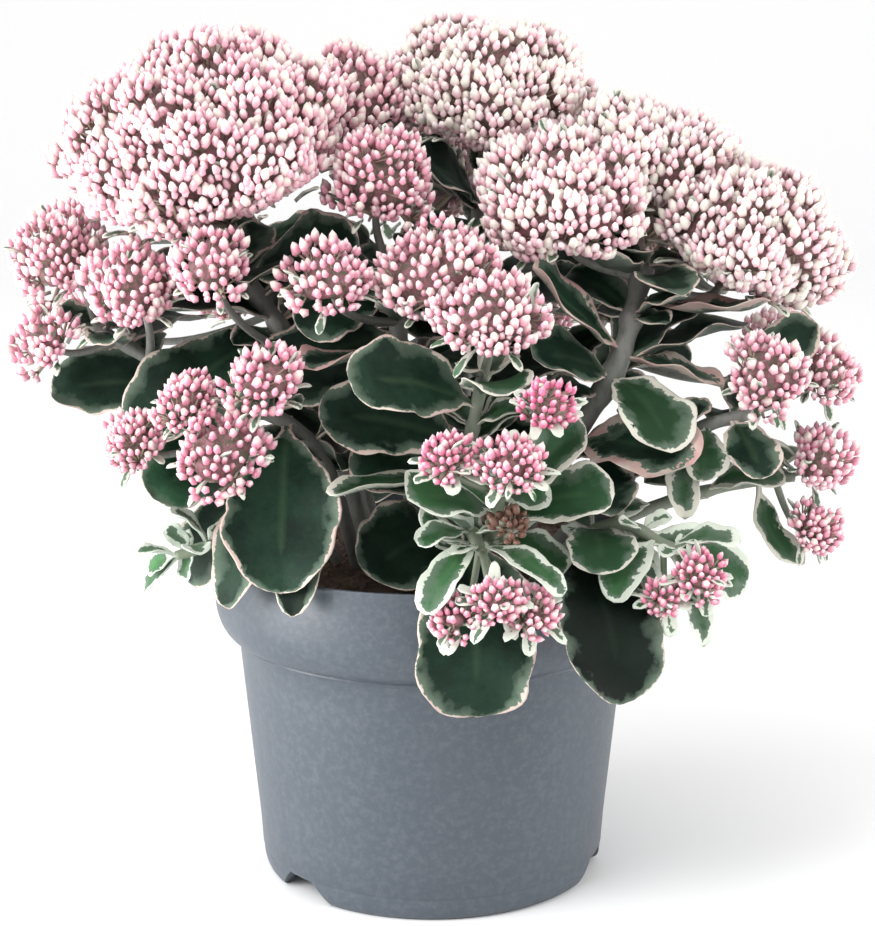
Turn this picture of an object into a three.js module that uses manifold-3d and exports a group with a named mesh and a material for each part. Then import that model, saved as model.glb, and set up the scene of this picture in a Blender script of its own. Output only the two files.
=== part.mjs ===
// Potted stonecrop with cream-edged leaves and domed heads of pink buds, in a plastic nursery pot.
// Millimetres, +Z up. The origin is the middle of the pot's base, on the ground. -Y is the front.
import * as THREE from 'three';
import Module from 'manifold-3d';
import { mergeVertices } from 'three/addons/utils/BufferGeometryUtils.js';

const wasm = await Module();
wasm.setup();

// Nursery pot, 19 cm across the rim, about 3 litres.
const pot = {
  rimRadius: 95, height: 146.4, lip: 1.8, rounding: 0.8, wall: 1.7, sides: 30,
  bandBottom: 107, bandStraight: 125, bandSteps: 2, shoulderRadius: 85.3, ledge: 0.6, ledgeDrop: 2.2,
  footHeight: 10.2, footLineRadius: 75.5, baseRadius: 72.4, footRing: 2.7, footTaper: 0.4,
  floorBottom: 9, floorTop: 11, floorCorner: 1, bossRadius: 15, bossSlope: 2,
  notchHeight: 9.6, notches: 3, notchAt: -48, notchHalfLow: 12.8, notchHalfHigh: 6.4, notchDepth: 12,
  notchBelow: 1, drainRadius: 5, drainRing: 58, drains: 8, drainSides: 6,
};
const soil = {
  top: 137, bottom: 12, footInset: 2, bulkTop: 100, wallGap: 0.8, bandTuck: 9, bandRise: 2,
  rimGap: 4, edgeGap: 3.2, edgeDrop: 0.6, rings: [66, 33], sides: 20, level: 0.1,
  relief: 1.6, reliefAcross: 0.21, reliefAlong: 0.17, reliefStart: 1,
  holeSides: 5, holeTop: 1.9, holeFoot: 1.4, holeHeight: 30,
};
const gap = 0.35;
const stem = {
  sides: 5, branchSides: 3, longSteps: 5, shortSteps: 4, branchSteps: 2, sunk: 12, tension: 0.5,
  branchBase: 1.2, branchShare: 0.035, branchTaper: 0.75, branchBend: 0.35,
};
const blade = {
  thickness: 1.8, cup: 0.25, teeth: 0.05, wave: 0.03, petiole: 0.1, petioleWidth: 0.05, petioleUpTo: 0.5,
  footDepth: 0.04, footFullness: 0.75, tipFullness: 0.5, outlinePeak: 0.4312,
  smallWidth: 18, smallShare: 0.75,
  rings: { large: [0.24, 0.5, 0.75, 0.93], middling: [0.3, 0.65, 0.9], small: [0.36, 0.78] },
};
// A head's funnel of stalks is this deep for its radius, and the core between its bunches this wide.
const dome = {
  depthShare: 0.42, core: 0.82, bunchSize: 1.2, lowestBunch: 0.12, underside: -0.35, undersideFlat: 0.8,
  touching: 1.15, budHeight: 4.6, smallBud: 0.3, budFace: 18, faceShare: 1.107, budsFrom: -0.3, crowding: 0.6,
};
// The room that a blade keeps to other blades, stems, heads, the pot and the soil.
const room = {
  blade: 3.7, ownShare: 0.7, ownFoot: 16, otherFoot: 11, stem: 1.4, branch: 4, ownStem: 1, dome: 1.2,
  budShare: 0.6, near: 12, soil: 3.5, soilEdge: 4, rimAbove: 3, rimAcross: 5, rimMiddle: 1, wall: 3,
  along: 14, across: 9, firstSample: 0.08, skippedRows: 3, stemBalls: 40, branchBalls: 12,
};

const finishes = {
  pot: { color: 0x7c838e, roughness: 0.6 },
  soil: { color: 0x4c332b, roughness: 0.95 },
  stem: { color: 0x3f5c46, roughness: 0.7 },
  young: { color: 0x5f8a52, roughness: 0.7 },
  pink: { color: 0xd98aa4, roughness: 0.7 },
  pale: { color: 0xeac3cd, roughness: 0.7 },
  faded: { color: 0x8a6a5c, roughness: 0.7 },
};
const paleFrom = 30;

// Each shoot: its path from the soil up, and its radius at the foot and the top.
const shoots = {
  leftTall: { path: [[-24, 2], [-42, 0, 195], [-66, 0, 240], [-82, 2, 262]], r: [4.2, 3.2] },
  farLeft: { path: [[-36, -2], [-70, -4, 178], [-112, -8, 220], [-142, -10, 240]], r: [3.6, 2.4] },
  lowLeft: { path: [[-28, -14], [-46, -32, 188], [-66, -50, 210], [-82, -60, 206]], r: [3.2, 2.2] },
  middle: { path: [[-6, -8], [-10, -12, 195], [-14, -14, 240], [-17, -15, 264]], r: [4, 2.8] },
  back: { path: [[6, 14], [14, 28, 210], [20, 44, 270], [23, 50, 292]], r: [4.2, 3] },
  rightTall: { path: [[26, 0], [58, -18, 190], [78, -26, 229], [89, -12, 266]], r: [4.6, 3.6] },
  farRight: { path: [[36, -10], [78, -26, 178], [108, -34, 200], [130, -38, 208]], r: [3.4, 2.2] },
  lowRight: { path: [[34, -20], [76, -40, 162], [118, -36, 176], [152, -28, 180]], r: [3.2, 2] },
  front: { path: [[8, -16], [14, -40, 185], [20, -64, 226]], r: [3.2, 2.2] },
  frontSmall: { path: [[14, -26], [22, -68, 160], [28, -100, 194]], r: [3, 2] },
  rim: { path: [[8, -36], [14, -72, 166], [20, -98, 164]], r: [2.8, 1.8] },
  rimRight: { path: [[34, -30], [70, -60, 166], [98, -78, 160]], r: [2.8, 1.8] },
  sprout: { path: [[-44, -26], [-78, -50, 156], [-104, -62, 154]], r: [2.2, 1.4] },
  backLeft: { path: [[-20, 22], [-46, 42, 200], [-74, 62, 246], [-86, 67, 262]], r: [4.2, 3] },
  backMid: { path: [[0, 30], [-3, 62, 200], [-5, 92, 240], [-6, 101, 254]], r: [4, 3] },
  backRight: { path: [[24, 24], [50, 50, 195], [78, 76, 234], [88, 83, 246]], r: [4.2, 3] },
  backLow: { path: [[8, 42], [24, 84, 170], [40, 124, 200], [46, 138, 208]], r: [3.4, 2.2] },
};

// Each flower head: its shoot, how far up it the branch leaves, its centre, the way it faces,
// its radius across, its height above the centre, and the number of bunches that it bulges into.
const headRows = {
  headLeft: ['leftTall', 1, [-92, -12, 309], [-0.2, -0.35, 0.9], 68, 52, 16],
  headLeftBack: ['back', 0.75, [-36, 40, 326], [0.1, -0.2, 0.95], 33, 32, 5],
  headMiddle: ['middle', 1, [-22, -24, 298], [0.1, -0.4, 0.9], 25, 30, 5],
  headMiddleLow: ['middle', 0.8, [2, -52, 264], [0, -0.55, 0.83], 27, 22, 5],
  headInnerLeft: ['middle', 0.7, [-40, -64, 266], [-0.1, -0.7, 0.7], 19, 13, 3],
  headBack: ['back', 1, [24, 45, 334], [0.05, -0.3, 0.95], 52, 36, 9],
  headRightInner: ['rightTall', 0.97, [54, -22, 292], [-0.2, -0.45, 0.88], 40, 30, 7],
  headRight: ['rightTall', 0.97, [130, -6, 274], [0.36, -0.3, 0.88], 47, 38, 9],
  headRightTop: ['rightTall', 1, [92, 14, 304], [0.1, -0.15, 0.98], 48, 32, 7],
  headFront: ['front', 1, [24, -78, 252], [0, -0.7, 0.7], 23, 16, 4],
  headFarLeft: ['farLeft', 1, [-154, -12, 268], [-0.5, -0.35, 0.8], 24, 24, 4],
  headFarLeftLow: ['farLeft', 0.9, [-160, -26, 236], [-0.6, -0.6, 0.5], 16, 13, 2],
  headFarLeftInner: ['farLeft', 0.75, [-120, -42, 258], [-0.2, -0.6, 0.75], 22, 20, 4],
  headLeftUnder: ['leftTall', 0.55, [-86, -62, 270], [-0.1, -0.6, 0.78], 18, 16, 3],
  headLowLeftTop: ['lowLeft', 0.75, [-64, -82, 228], [0.1, -0.7, 0.7], 17, 13, 3],
  headLowLeftUpper: ['lowLeft', 0.9, [-96, -78, 220], [-0.1, -0.7, 0.7], 14, 11, 2],
  headLowLeftFront: ['lowLeft', 1, [-82, -86, 201], [0, -0.8, 0.6], 20, 13, 3],
  headLowLeftOuter: ['lowLeft', 0.8, [-119, -64, 201], [-0.5, -0.6, 0.6], 14, 12, 2],
  headFarRight: ['farRight', 1, [136, -52, 226], [0.1, -0.8, 0.6], 20, 14, 3],
  headFarRightOuter: ['farRight', 0.9, [164, -24, 222], [0.5, -0.6, 0.6], 17, 13, 2],
  headLowRight: ['lowRight', 0.96, [161, -34, 187], [0.6, -0.6, 0.5], 18, 14, 3],
  headLowRightUnder: ['lowRight', 0.92, [160, -40, 160], [0.5, -0.7, 0.3], 13, 10, 2],
  headFrontLeft: ['frontSmall', 0.9, [6, -114, 204], [-0.2, -0.7, 0.7], 11, 9, 2],
  headFrontMid: ['frontSmall', 1, [30, -118, 203], [0, -0.7, 0.7], 13, 10, 2],
  headFrontRight: ['frontSmall', 0.9, [44, -106, 223], [0.2, -0.6, 0.8], 10, 10, 1],
  headFaded: ['frontSmall', 0.5, [31, -104, 177], [0, -0.8, 0.6], 7, 6, 1],
  headRimLeft: ['rim', 0.9, [9, -121, 144], [-0.3, -0.8, 0.5], 9, 7, 1],
  headRimMid: ['rim', 1, [24, -124, 152], [0, -0.8, 0.6], 9, 8, 1],
  headRimRight: ['rim', 0.9, [39, -119, 146], [0.3, -0.8, 0.5], 9, 7, 1],
  headSide: ['rimRight', 1, [105, -96, 154], [0.2, -0.8, 0.6], 10, 9, 1],
  headSideSmall: ['rimRight', 0.9, [90, -98, 146], [-0.2, -0.8, 0.5], 7, 6, 1],
  headBackLeft: ['backLeft', 1, [-100, 80, 300], [-0.3, 0.35, 0.88], 48, 34, 9],
  headBackMid: ['backMid', 1, [-8, 118, 292], [-0.05, 0.4, 0.9], 46, 32, 8],
  headBackRight: ['backRight', 1, [102, 98, 282], [0.3, 0.35, 0.88], 46, 32, 8],
  headBackSideLeft: ['backLeft', 0.6, [-150, 52, 240], [-0.7, 0.2, 0.7], 20, 15, 3],
  headBackLowLeft: ['backLeft', 0.5, [-98, 124, 236], [-0.3, 0.6, 0.7], 20, 15, 3],
  headBackLow: ['backLow', 1, [48, 148, 224], [0.2, 0.6, 0.75], 24, 17, 4],
  headBackSideRight: ['backRight', 0.55, [158, 56, 222], [0.7, 0.3, 0.7], 20, 15, 3],
  headBackInner: ['backMid', 0.5, [-44, 142, 220], [-0.2, 0.7, 0.7], 18, 14, 3],
};

// How a leaf lies: its droop along the blade, and how far its face tips towards the front, in degrees.
const lies = {
  flat: [15, 0], scooped: [-40, 0], rising: [-15, 40], tipped: [25, 45], facing: [30, 60],
  arched: [50, 15], hanging: [85, 5], curled: [-80, 0],
};

// The leaves that show best, each as it grows: its shoot, how far up, its heading in degrees
// (0 is right, 90 the back), its slope above level in degrees, its length, its width and its lie.
const setLeaves = [
  ['lowLeft', 0.2, -105, -30, 70, 22, 'hanging'],
  ['lowLeft', 0.55, -90, -60, 70, 44, 'arched'],
  ['rimRight', 0.3, -75, -30, 80, 40, 'hanging'],
  ['rim', 0.5, -90, -45, 75, 48, 'hanging'],
  ['leftTall', 0.65, -150, -15, 80, 40, 'tipped'],
  ['farLeft', 0.6, -165, 0, 60, 35, 'tipped'],
  ['leftTall', 0.95, -30, 15, 60, 35, 'facing'],
  ['middle', 0.85, -150, 0, 60, 36, 'facing'],
  ['middle', 0.65, -150, -15, 65, 40, 'facing'],
  ['middle', 0.55, -135, 0, 60, 30, 'flat'],
  ['front', 0.85, -150, 15, 60, 36, 'facing'],
  ['front', 0.6, -165, 15, 65, 34, 'facing'],
  ['front', 0.4, -150, 15, 55, 32, 'tipped'],
  ['front', 0.45, -135, 0, 75, 22, 'flat'],
  ['front', 0.25, -135, -15, 60, 44, 'facing'],
  ['lowLeft', 0.3, -150, -45, 70, 28, 'hanging'],
  ['farLeft', 0.3, -135, -45, 60, 28, 'hanging'],
  ['farLeft', 0.4, -135, -15, 55, 35, 'facing'],
  ['rightTall', 0.7, -150, 45, 65, 40, 'rising'],
  ['rightTall', 0.9, -15, 0, 55, 30, 'scooped'],
  ['rightTall', 0.65, 15, 15, 60, 32, 'flat'],
  ['rightTall', 0.68, -15, 0, 45, 28, 'flat'],
  ['rightTall', 0.6, -135, 15, 50, 30, 'facing'],
  ['rightTall', 0.6, -60, -30, 50, 32, 'arched'],
  ['rightTall', 0.35, -45, 0, 65, 38, 'tipped'],
  ['rightTall', 0.95, 30, -15, 50, 28, 'tipped'],
  ['rightTall', 1, -135, 30, 40, 28, 'scooped'],
  ['back', 0.88, -135, 30, 50, 38, 'facing'],
  ['farRight', 1, 30, 45, 50, 24, 'tipped'],
  ['farRight', 0.6, -90, -45, 40, 14, 'arched'],
  ['farRight', 0.75, -105, -30, 30, 20, 'tipped'],
  ['farRight', 0.9, -60, -45, 28, 22, 'tipped'],
  ['lowRight', 0.85, -45, -45, 40, 20, 'curled'],
  ['frontSmall', 0.7, -15, 15, 50, 28, 'tipped'],
  ['frontSmall', 0.85, 0, 45, 45, 28, 'rising'],
  ['frontSmall', 0.75, -135, 15, 50, 28, 'tipped'],
  ['frontSmall', 0.85, -30, -15, 30, 18, 'tipped'],
  ['frontSmall', 0.5, -45, -15, 40, 24, 'arched'],
  ['rimRight', 0.45, -90, -15, 35, 28, 'arched'],
  ['rimRight', 0.6, -75, -60, 55, 24, 'hanging'],
  ['rimRight', 0.75, -15, -30, 50, 28, 'tipped'],
  ['rimRight', 0.85, -120, -45, 35, 18, 'arched'],
  ['rimRight', 0.95, -45, -60, 40, 12, 'arched'],
  ['rim', 0.42, -120, 15, 30, 24, 'tipped'],
  ['rim', 0.7, -105, 45, 30, 14, 'flat'],
  ['rim', 0.85, -120, -30, 45, 16, 'arched'],
  ['rim', 0.9, -120, 0, 22, 9, 'flat'],
  ['rim', 0.9, -45, -15, 45, 14, 'arched'],
  ['sprout', 0.9, 180, 45, 14, 10, 'tipped'],
  ['sprout', 1, 165, -30, 15, 12, 'tipped'],
  ['sprout', 0.95, -165, -45, 25, 10, 'tipped'],
  ['sprout', 0.85, -120, -60, 15, 11, 'arched'],
];

// Leaves set by rule: pairs up each shoot, each pair turned a quarter round from the last.
const pairRule = {
  leftTall: { count: 4, from: 0.22, to: 0.9, turn: 20, length: 58, width: 38 },
  farLeft: { count: 3, from: 0.3, to: 0.85, turn: 60, length: 42, width: 28 },
  lowLeft: { count: 2, from: 0.4, to: 0.8, turn: 0, length: 36, width: 24 },
  middle: { count: 3, from: 0.2, to: 0.8, turn: 45, length: 50, width: 34 },
  back: { count: 4, from: 0.25, to: 0.9, turn: 70, length: 58, width: 38 },
  rightTall: { count: 3, from: 0.25, to: 0.95, turn: 110, length: 56, width: 36 },
  farRight: { count: 3, from: 0.3, to: 0.9, turn: 30, length: 40, width: 26 },
  lowRight: { count: 3, from: 0.35, to: 0.9, turn: 75, length: 34, width: 22 },
  front: { count: 2, from: 0.6, to: 0.92, turn: 15, length: 36, width: 24 },
  frontSmall: { count: 3, from: 0.5, to: 0.95, turn: 50, length: 30, width: 19 },
  rim: { count: 2, from: 0.7, to: 0.95, turn: 20, length: 24, width: 14 },
  rimRight: { count: 2, from: 0.6, to: 0.95, turn: 65, length: 26, width: 16 },
  sprout: { count: 3, from: 0.75, to: 1, turn: 30, length: 20, width: 10 },
  backLeft: { count: 5, from: 0.15, to: 0.95, turn: 0, length: 58, width: 38 },
  backMid: { count: 5, from: 0.15, to: 0.95, turn: 40, length: 56, width: 38 },
  backRight: { count: 4, from: 0.15, to: 0.95, turn: 85, length: 56, width: 38 },
  backLow: { count: 4, from: 0.2, to: 0.92, turn: 25, length: 46, width: 30 },
};
const pair = { slope: 9, droop: 50, face: 15, quarter: 90, variety: 0.12, varietyStep: 7 };

// How far a leaf may be turned, raised and pushed back or forward from where it is set, to stand clear.
const setMoves = movesOf([0, 5, -5, 10, -10, 15, -15], [0, 5, -5, 10, -10, 15, -15], [0, 5, -5, 10, -10, 15]);
const pairMoves = movesOf([0, 15, -15, 30, -30], [0, 12, -12, 24, 36], [0]);

const up = new THREE.Vector3(0, 0, 1);
const aside = new THREE.Vector3(0, 1, 0.01);
const radians = THREE.MathUtils.degToRad;
const vector = (p) => new THREE.Vector3(...p);

// A closed geometry as a solid, and a solid back as a mesh with its own material.
function solidOf(geometry) {
  geometry.deleteAttribute('normal');
  geometry.deleteAttribute('uv');
  const merged = mergeVertices(geometry);
  const vertProperties = Float32Array.from(merged.attributes.position.array);
  const triVerts = Uint32Array.from(merged.index.array);
  return new wasm.Manifold(new wasm.Mesh({ numProp: 3, vertProperties, triVerts }));
}

function meshOf(solid, name, finish) {
  const { vertProperties, triVerts } = solid.getMesh();
  const geometry = new THREE.BufferGeometry();
  geometry.setAttribute('position', new THREE.BufferAttribute(Float32Array.from(vertProperties), 3));
  geometry.setIndex(new THREE.BufferAttribute(Uint32Array.from(triVerts), 1));
  geometry.computeVertexNormals();
  const mesh = new THREE.Mesh(geometry, new THREE.MeshStandardMaterial({ ...finish, metalness: 0 }));
  mesh.name = name;
  return mesh;
}

function indexed(points, triangles) {
  const geometry = new THREE.BufferGeometry();
  const flat = new Float32Array(points.flatMap((p) => p.toArray()));
  geometry.setAttribute('position', new THREE.BufferAttribute(flat, 3));
  geometry.setIndex(triangles);
  return geometry;
}

function pathOf(shoot) {
  const [foot, ...rest] = shoot.path;
  const points = [[foot[0], foot[1], soil.top - stem.sunk], ...rest].map(vector);
  return new THREE.CatmullRomCurve3(points, false, 'catmullrom', stem.tension);
}

// A round stem along a path, thinner towards its end.
function stemSolid(path, radiusFrom, radiusTo, sides, steps) {
  const section = new THREE.Shape();
  section.moveTo(1, 0);
  for (let i = 1; i < sides; i++) {
    const a = (2 * Math.PI * i) / sides;
    section.lineTo(Math.cos(a), Math.sin(a));
  }
  const geometry = new THREE.ExtrudeGeometry(section, { steps, extrudePath: path, curveSegments: 1 });
  const centres = path.getSpacedPoints(steps);
  const p = geometry.attributes.position;
  const v = new THREE.Vector3();
  for (let i = 0; i < p.count; i++) {
    v.fromBufferAttribute(p, i);
    const distances = centres.map((c) => c.distanceTo(v));
    const ring = distances.indexOf(Math.min(...distances));
    const radius = THREE.MathUtils.lerp(radiusFrom, radiusTo, ring / steps);
    v.sub(centres[ring]).multiplyScalar(radius).add(centres[ring]);
    p.setXYZ(i, v.x, v.y, v.z);
  }
  return solidOf(geometry);
}

// A blade's middle surface: s runs from its foot to its tip, t from one edge to the other.
function bladeSurface(leaf) {
  const chord = leaf.tip.clone().sub(leaf.base);
  const reach = Math.hypot(chord.x, chord.y);
  const heading = new THREE.Vector3(chord.x / reach, chord.y / reach, 0);
  const bend = radians(leaf.droop);
  const length = (chord.length() * (bend / 2)) / Math.sin(bend / 2);
  const start = Math.atan2(chord.z, reach) + bend / 2;
  const roll = -radians(leaf.face) * heading.x;
  const across = new THREE.Vector3().crossVectors(heading, up);
  return (s, t) => {
    const e = start - bend * s;
    const point = leaf.base.clone();
    point.addScaledVector(heading, (length * (Math.sin(start) - Math.sin(e))) / bend);
    point.addScaledVector(up, (length * (Math.cos(e) - Math.cos(start))) / bend);
    const lift = up.clone().multiplyScalar(Math.cos(e)).addScaledVector(heading, -Math.sin(e));
    const side = across.clone().multiplyScalar(Math.cos(roll)).addScaledVector(lift, Math.sin(roll));
    const normal = lift.clone().multiplyScalar(Math.cos(roll)).addScaledVector(across, -Math.sin(roll));
    const u = Math.min(1, Math.max(0, (s - blade.petiole) / (1 - blade.petiole)));
    const full = (u ** blade.footFullness * (1 - u) ** blade.tipFullness) / blade.outlinePeak;
    const least = s < blade.petioleUpTo ? leaf.width * blade.petioleWidth : 0;
    const half = Math.max((leaf.width / 2) * full, least);
    point.addScaledVector(side, half * t);
    point.addScaledVector(normal, blade.cup * half * t * t);
    return { point, normal };
  };
}

// A blade as a thin solid: sharp edges, thick along the midrib, shallow teeth and a wave at the edge.
function bladeSolid(leaf) {
  const surface = bladeSurface(leaf);
  const small = leaf.width < blade.smallWidth;
  const rings = blade.rings[small ? 'small' : leaf.detail];
  const half = (small ? blade.smallShare : 1) * (blade.thickness / 2);
  const points = [surface(-blade.footDepth, 0).point];
  rings.forEach((s, k) => {
    const middle = surface(s, 0);
    const way = k % 2 ? -1 : 1;
    const [left, right] = [-1, 1].map((side) => {
      const edge = surface(s, side * (1 + blade.teeth * way));
      return edge.point.addScaledVector(edge.normal, leaf.width * blade.wave * way * side);
    });
    const top = middle.point.clone().addScaledVector(middle.normal, half);
    const under = middle.point.clone().addScaledVector(middle.normal, -half);
    points.push(left, top, right, under);
  });
  const tip = points.length;
  points.push(surface(1, 0).point);
  const triangles = [0, 2, 1, 0, 3, 2, 0, 4, 3, 0, 1, 4];
  for (let l = 1; l < tip - 4; l += 4) {
    const [m, r, b] = [l + 1, l + 2, l + 3];
    const [l2, m2, r2, b2] = [l + 4, l + 5, l + 6, l + 7];
    triangles.push(l, m2, l2, l, m, m2, l, l2, b2, l, b2, b);
    triangles.push(r, m2, m, r, r2, m2, r, b2, r2, r, b, b2);
  }
  const e = tip - 4;
  triangles.push(e, e + 1, tip, e + 1, e + 2, tip, e + 2, e + 3, tip, e + 3, e, tip);
  return solidOf(indexed(points, triangles));
}

// Points spread over a blade, which stand for it where blades are kept clear of each other.
function bladeSamples(leaf) {
  const surface = bladeSurface(leaf);
  const points = [];
  for (let i = 0; i < room.along; i++) {
    const s = room.firstSample + ((1 - room.firstSample) * i) / (room.along - 1);
    for (let j = 0; j < room.across; j++) points.push(surface(s, (2 * j) / (room.across - 1) - 1).point);
  }
  const centre = points.reduce((sum, p) => sum.add(p), new THREE.Vector3()).divideScalar(points.length);
  const span = Math.max(...points.map((p) => p.distanceTo(centre))) + room.blade;
  return { points, centre, span };
}

// The bunches of a head, as balls inside a unit dome.
function bunchesOf(count, r) {
  const goldenAngle = Math.PI * (3 - Math.sqrt(5));
  const radius = Math.min(1, dome.bunchSize / Math.sqrt(count));
  return Array.from({ length: count }, (_, k) => {
    const z = count === 1 ? 1 : dome.lowestBunch + ((1 - dome.lowestBunch) * (k + 0.5)) / count;
    const flat = Math.sqrt(1 - z * z);
    const a = k * goldenAngle + r;
    const centre = new THREE.Vector3(Math.cos(a) * flat, Math.sin(a) * flat, z).multiplyScalar(1 - radius);
    return { centre, radius };
  });
}

const heads = Object.entries(headRows).map(([name, [on, at, centre, facing, r, h, count]]) => {
  const n = vector(facing).normalize();
  const a = new THREE.Vector3().crossVectors(n, aside).normalize();
  const b = new THREE.Vector3().crossVectors(n, a);
  return { name, on, at, c: vector(centre), n, a, b, r, h, bunches: bunchesOf(count, r) };
});

// Where two heads press together, each stops short of a plane between them.
function wallsOf(head) {
  const walls = [];
  for (const other of heads) {
    const away = other.c.clone().sub(head.c);
    const distance = away.length();
    if (other === head || distance > (head.r + other.r) * dome.touching) continue;
    const at = (distance * head.r) / (head.r + other.r) - gap;
    away.divideScalar(distance);
    const [x, y, z] = [head.a, head.b, head.n].map((axis) => axis.dot(away));
    walls.push({ normal: new THREE.Vector3(x * head.r, y * head.r, z * head.h), at });
  }
  return walls;
}
for (const head of heads) head.walls = wallsOf(head);

// How far a head reaches from its centre in a direction: the furthest bunch, or the core.
function headReach(head, direction, extra) {
  const depth = (head.r * dome.depthShare) / head.h;
  const flat = Math.hypot(direction.x, direction.y);
  let reach = dome.core;
  if (direction.z < 0) reach = (dome.core * depth) / (depth * flat - dome.core * direction.z);
  const below = direction.z < dome.underside && flat < dome.undersideFlat;
  for (const bunch of head.bunches) {
    const along = direction.dot(bunch.centre);
    const inside = along * along - bunch.centre.lengthSq() + bunch.radius ** 2;
    if (inside > 0 && !below) reach = Math.max(reach, along + Math.sqrt(inside));
  }
  reach += extra;
  for (const wall of head.walls) {
    const towards = wall.normal.dot(direction);
    if (towards > 0) reach = Math.min(reach, wall.at / towards);
  }
  return reach;
}

function headPoint(head, direction, extra) {
  const reach = headReach(head, direction, extra);
  const point = head.c.clone().addScaledVector(head.a, direction.x * reach * head.r);
  point.addScaledVector(head.b, direction.y * reach * head.r);
  return point.addScaledVector(head.n, direction.z * reach * head.h);
}

// The corners of a net over the whole ball, gathered towards its upper side, where the buds are.
function ballNet(detail) {
  const ball = new THREE.IcosahedronGeometry(1, detail - 1);
  ball.deleteAttribute('normal');
  ball.deleteAttribute('uv');
  ball.rotateX(Math.atan2(1, (1 + Math.sqrt(5)) / 2));
  const net = mergeVertices(ball);
  const directions = [];
  for (let i = 0; i < net.attributes.position.count; i++) {
    const v = new THREE.Vector3().fromBufferAttribute(net.attributes.position, i);
    const z = -1 + 2 * ((v.z + 1) / 2) ** dome.crowding;
    const s = Math.sqrt(Math.max(0, 1 - z * z)) / (Math.hypot(v.x, v.y) || 1);
    directions.push(new THREE.Vector3(v.x * s, v.y * s, z));
  }
  return { directions, corners: net.index.array };
}

// A head: a bulging dome whose every facet rises to a bud, on a plain funnel of joined stalks.
function headSolid(head) {
  const { directions, corners } = ballNet(Math.max(1, Math.round((head.r * dome.faceShare) / dome.budFace)));
  const points = directions.map((d) => headPoint(head, d, 0));
  const triangles = [];
  for (let i = 0; i < corners.length; i += 3) {
    const corner = [...corners.slice(i, i + 3)];
    const middle = new THREE.Vector3();
    corner.forEach((k) => middle.add(directions[k]));
    middle.normalize();
    if (middle.z < dome.budsFrom) {
      triangles.push(...corner);
      continue;
    }
    const apex = points.length;
    points.push(headPoint(head, middle, Math.min(dome.budHeight / head.r, dome.smallBud)));
    corner.forEach((k, j) => triangles.push(k, corner[(j + 1) % 3], apex));
  }
  return solidOf(indexed(points, triangles));
}

function branchPath(head) {
  const from = pathOf(shoots[head.on]).getPoint(head.at);
  const seat = head.c.clone().addScaledVector(head.n, -head.r * dome.depthShare - gap);
  const bend = seat.clone().addScaledVector(head.n, -stem.branchBend * from.distanceTo(seat));
  return new THREE.QuadraticBezierCurve3(from, bend, seat);
}

// What a blade keeps clear of: stems and branches as rows of balls, heads as domes, pot and soil.
function ballsAlong(path, count, on, reach) {
  return Array.from({ length: count + 1 }, (_, i) => ({ at: path.getPoint(i / count), on, reach }));
}
const stemBalls = [
  ...Object.entries(shoots).flatMap(([on, shoot]) => (
    ballsAlong(pathOf(shoot), room.stemBalls, on, shoot.r[0] + room.stem))),
  ...heads.flatMap((head) => ballsAlong(branchPath(head), room.branchBalls, head.on, room.branch)),
];

// A blade may touch its own shoot near its foot, since there they are one piece.
function nearBall(p, ball, leaf) {
  const own = ball.on === leaf.on;
  const foot = own ? room.ownFoot : room.otherFoot;
  const reach = ball.reach - (own ? room.ownStem : 0);
  return p.distanceTo(leaf.base) > foot && p.distanceTo(ball.at) < reach;
}

function insideHead(p, head) {
  const d = p.clone().sub(head.c);
  if (d.length() > head.r + room.near) return false;
  const local = new THREE.Vector3(d.dot(head.a) / head.r, d.dot(head.b) / head.r, d.dot(head.n) / head.h);
  const reach = local.length();
  const bud = Math.min(dome.budHeight, dome.smallBud * head.r) * room.budShare;
  const extra = (local.z > dome.budsFrom * reach ? bud : 0) + room.dome;
  return reach < headReach(head, local.normalize(), extra / head.r);
}

function meetsPot(p) {
  const out = Math.hypot(p.x, p.y);
  const onSoil = p.z < soil.top + room.soil && out < pot.rimRadius - room.soilEdge;
  const fromRim = Math.abs(out - pot.rimRadius + room.rimMiddle);
  const onRim = p.z < pot.height + room.rimAbove && fromRim < room.rimAcross;
  const inWall = p.z < pot.height && out > pot.rimRadius - room.soilEdge && out < pot.rimRadius + room.wall;
  return onSoil || onRim || inWall;
}

function meetsFixed(leaf, samples) {
  return samples.points.some((p) => {
    if (meetsPot(p) || heads.some((head) => insideHead(p, head))) return true;
    return stemBalls.some((ball) => nearBall(p, ball, leaf));
  });
}

// Blades of one shoot may start together, so their feet are left out, and they may lie closer.
function meetsBlades(leaf, samples, placed) {
  return placed.some((other) => {
    const apart = samples.centre.distanceTo(other.samples.centre);
    if (apart > samples.span + other.samples.span) return false;
    const own = leaf.on === other.on;
    const limit = (own ? room.blade * room.ownShare : room.blade) ** 2;
    const skip = own ? room.skippedRows * room.across : 0;
    const others = other.samples.points.slice(skip);
    return samples.points.slice(skip).some((p) => others.some((q) => p.distanceToSquared(q) < limit));
  });
}

// The ways to move a leaf, the smallest moves first.
function movesOf(turns, raises, pushes) {
  const costOfShortening = 70;
  const scales = [1, 0.9, 0.8];
  const moves = [];
  for (const scale of scales) {
    for (const turn of turns) {
      for (const raise of raises) {
        for (const push of pushes) {
          const cost = Math.abs(turn) + Math.abs(raise) + Math.abs(push) + costOfShortening * (1 - scale);
          moves.push({ turn, raise, push, scale, cost });
        }
      }
    }
  }
  return moves.sort((a, b) => a.cost - b.cost);
}

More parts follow.
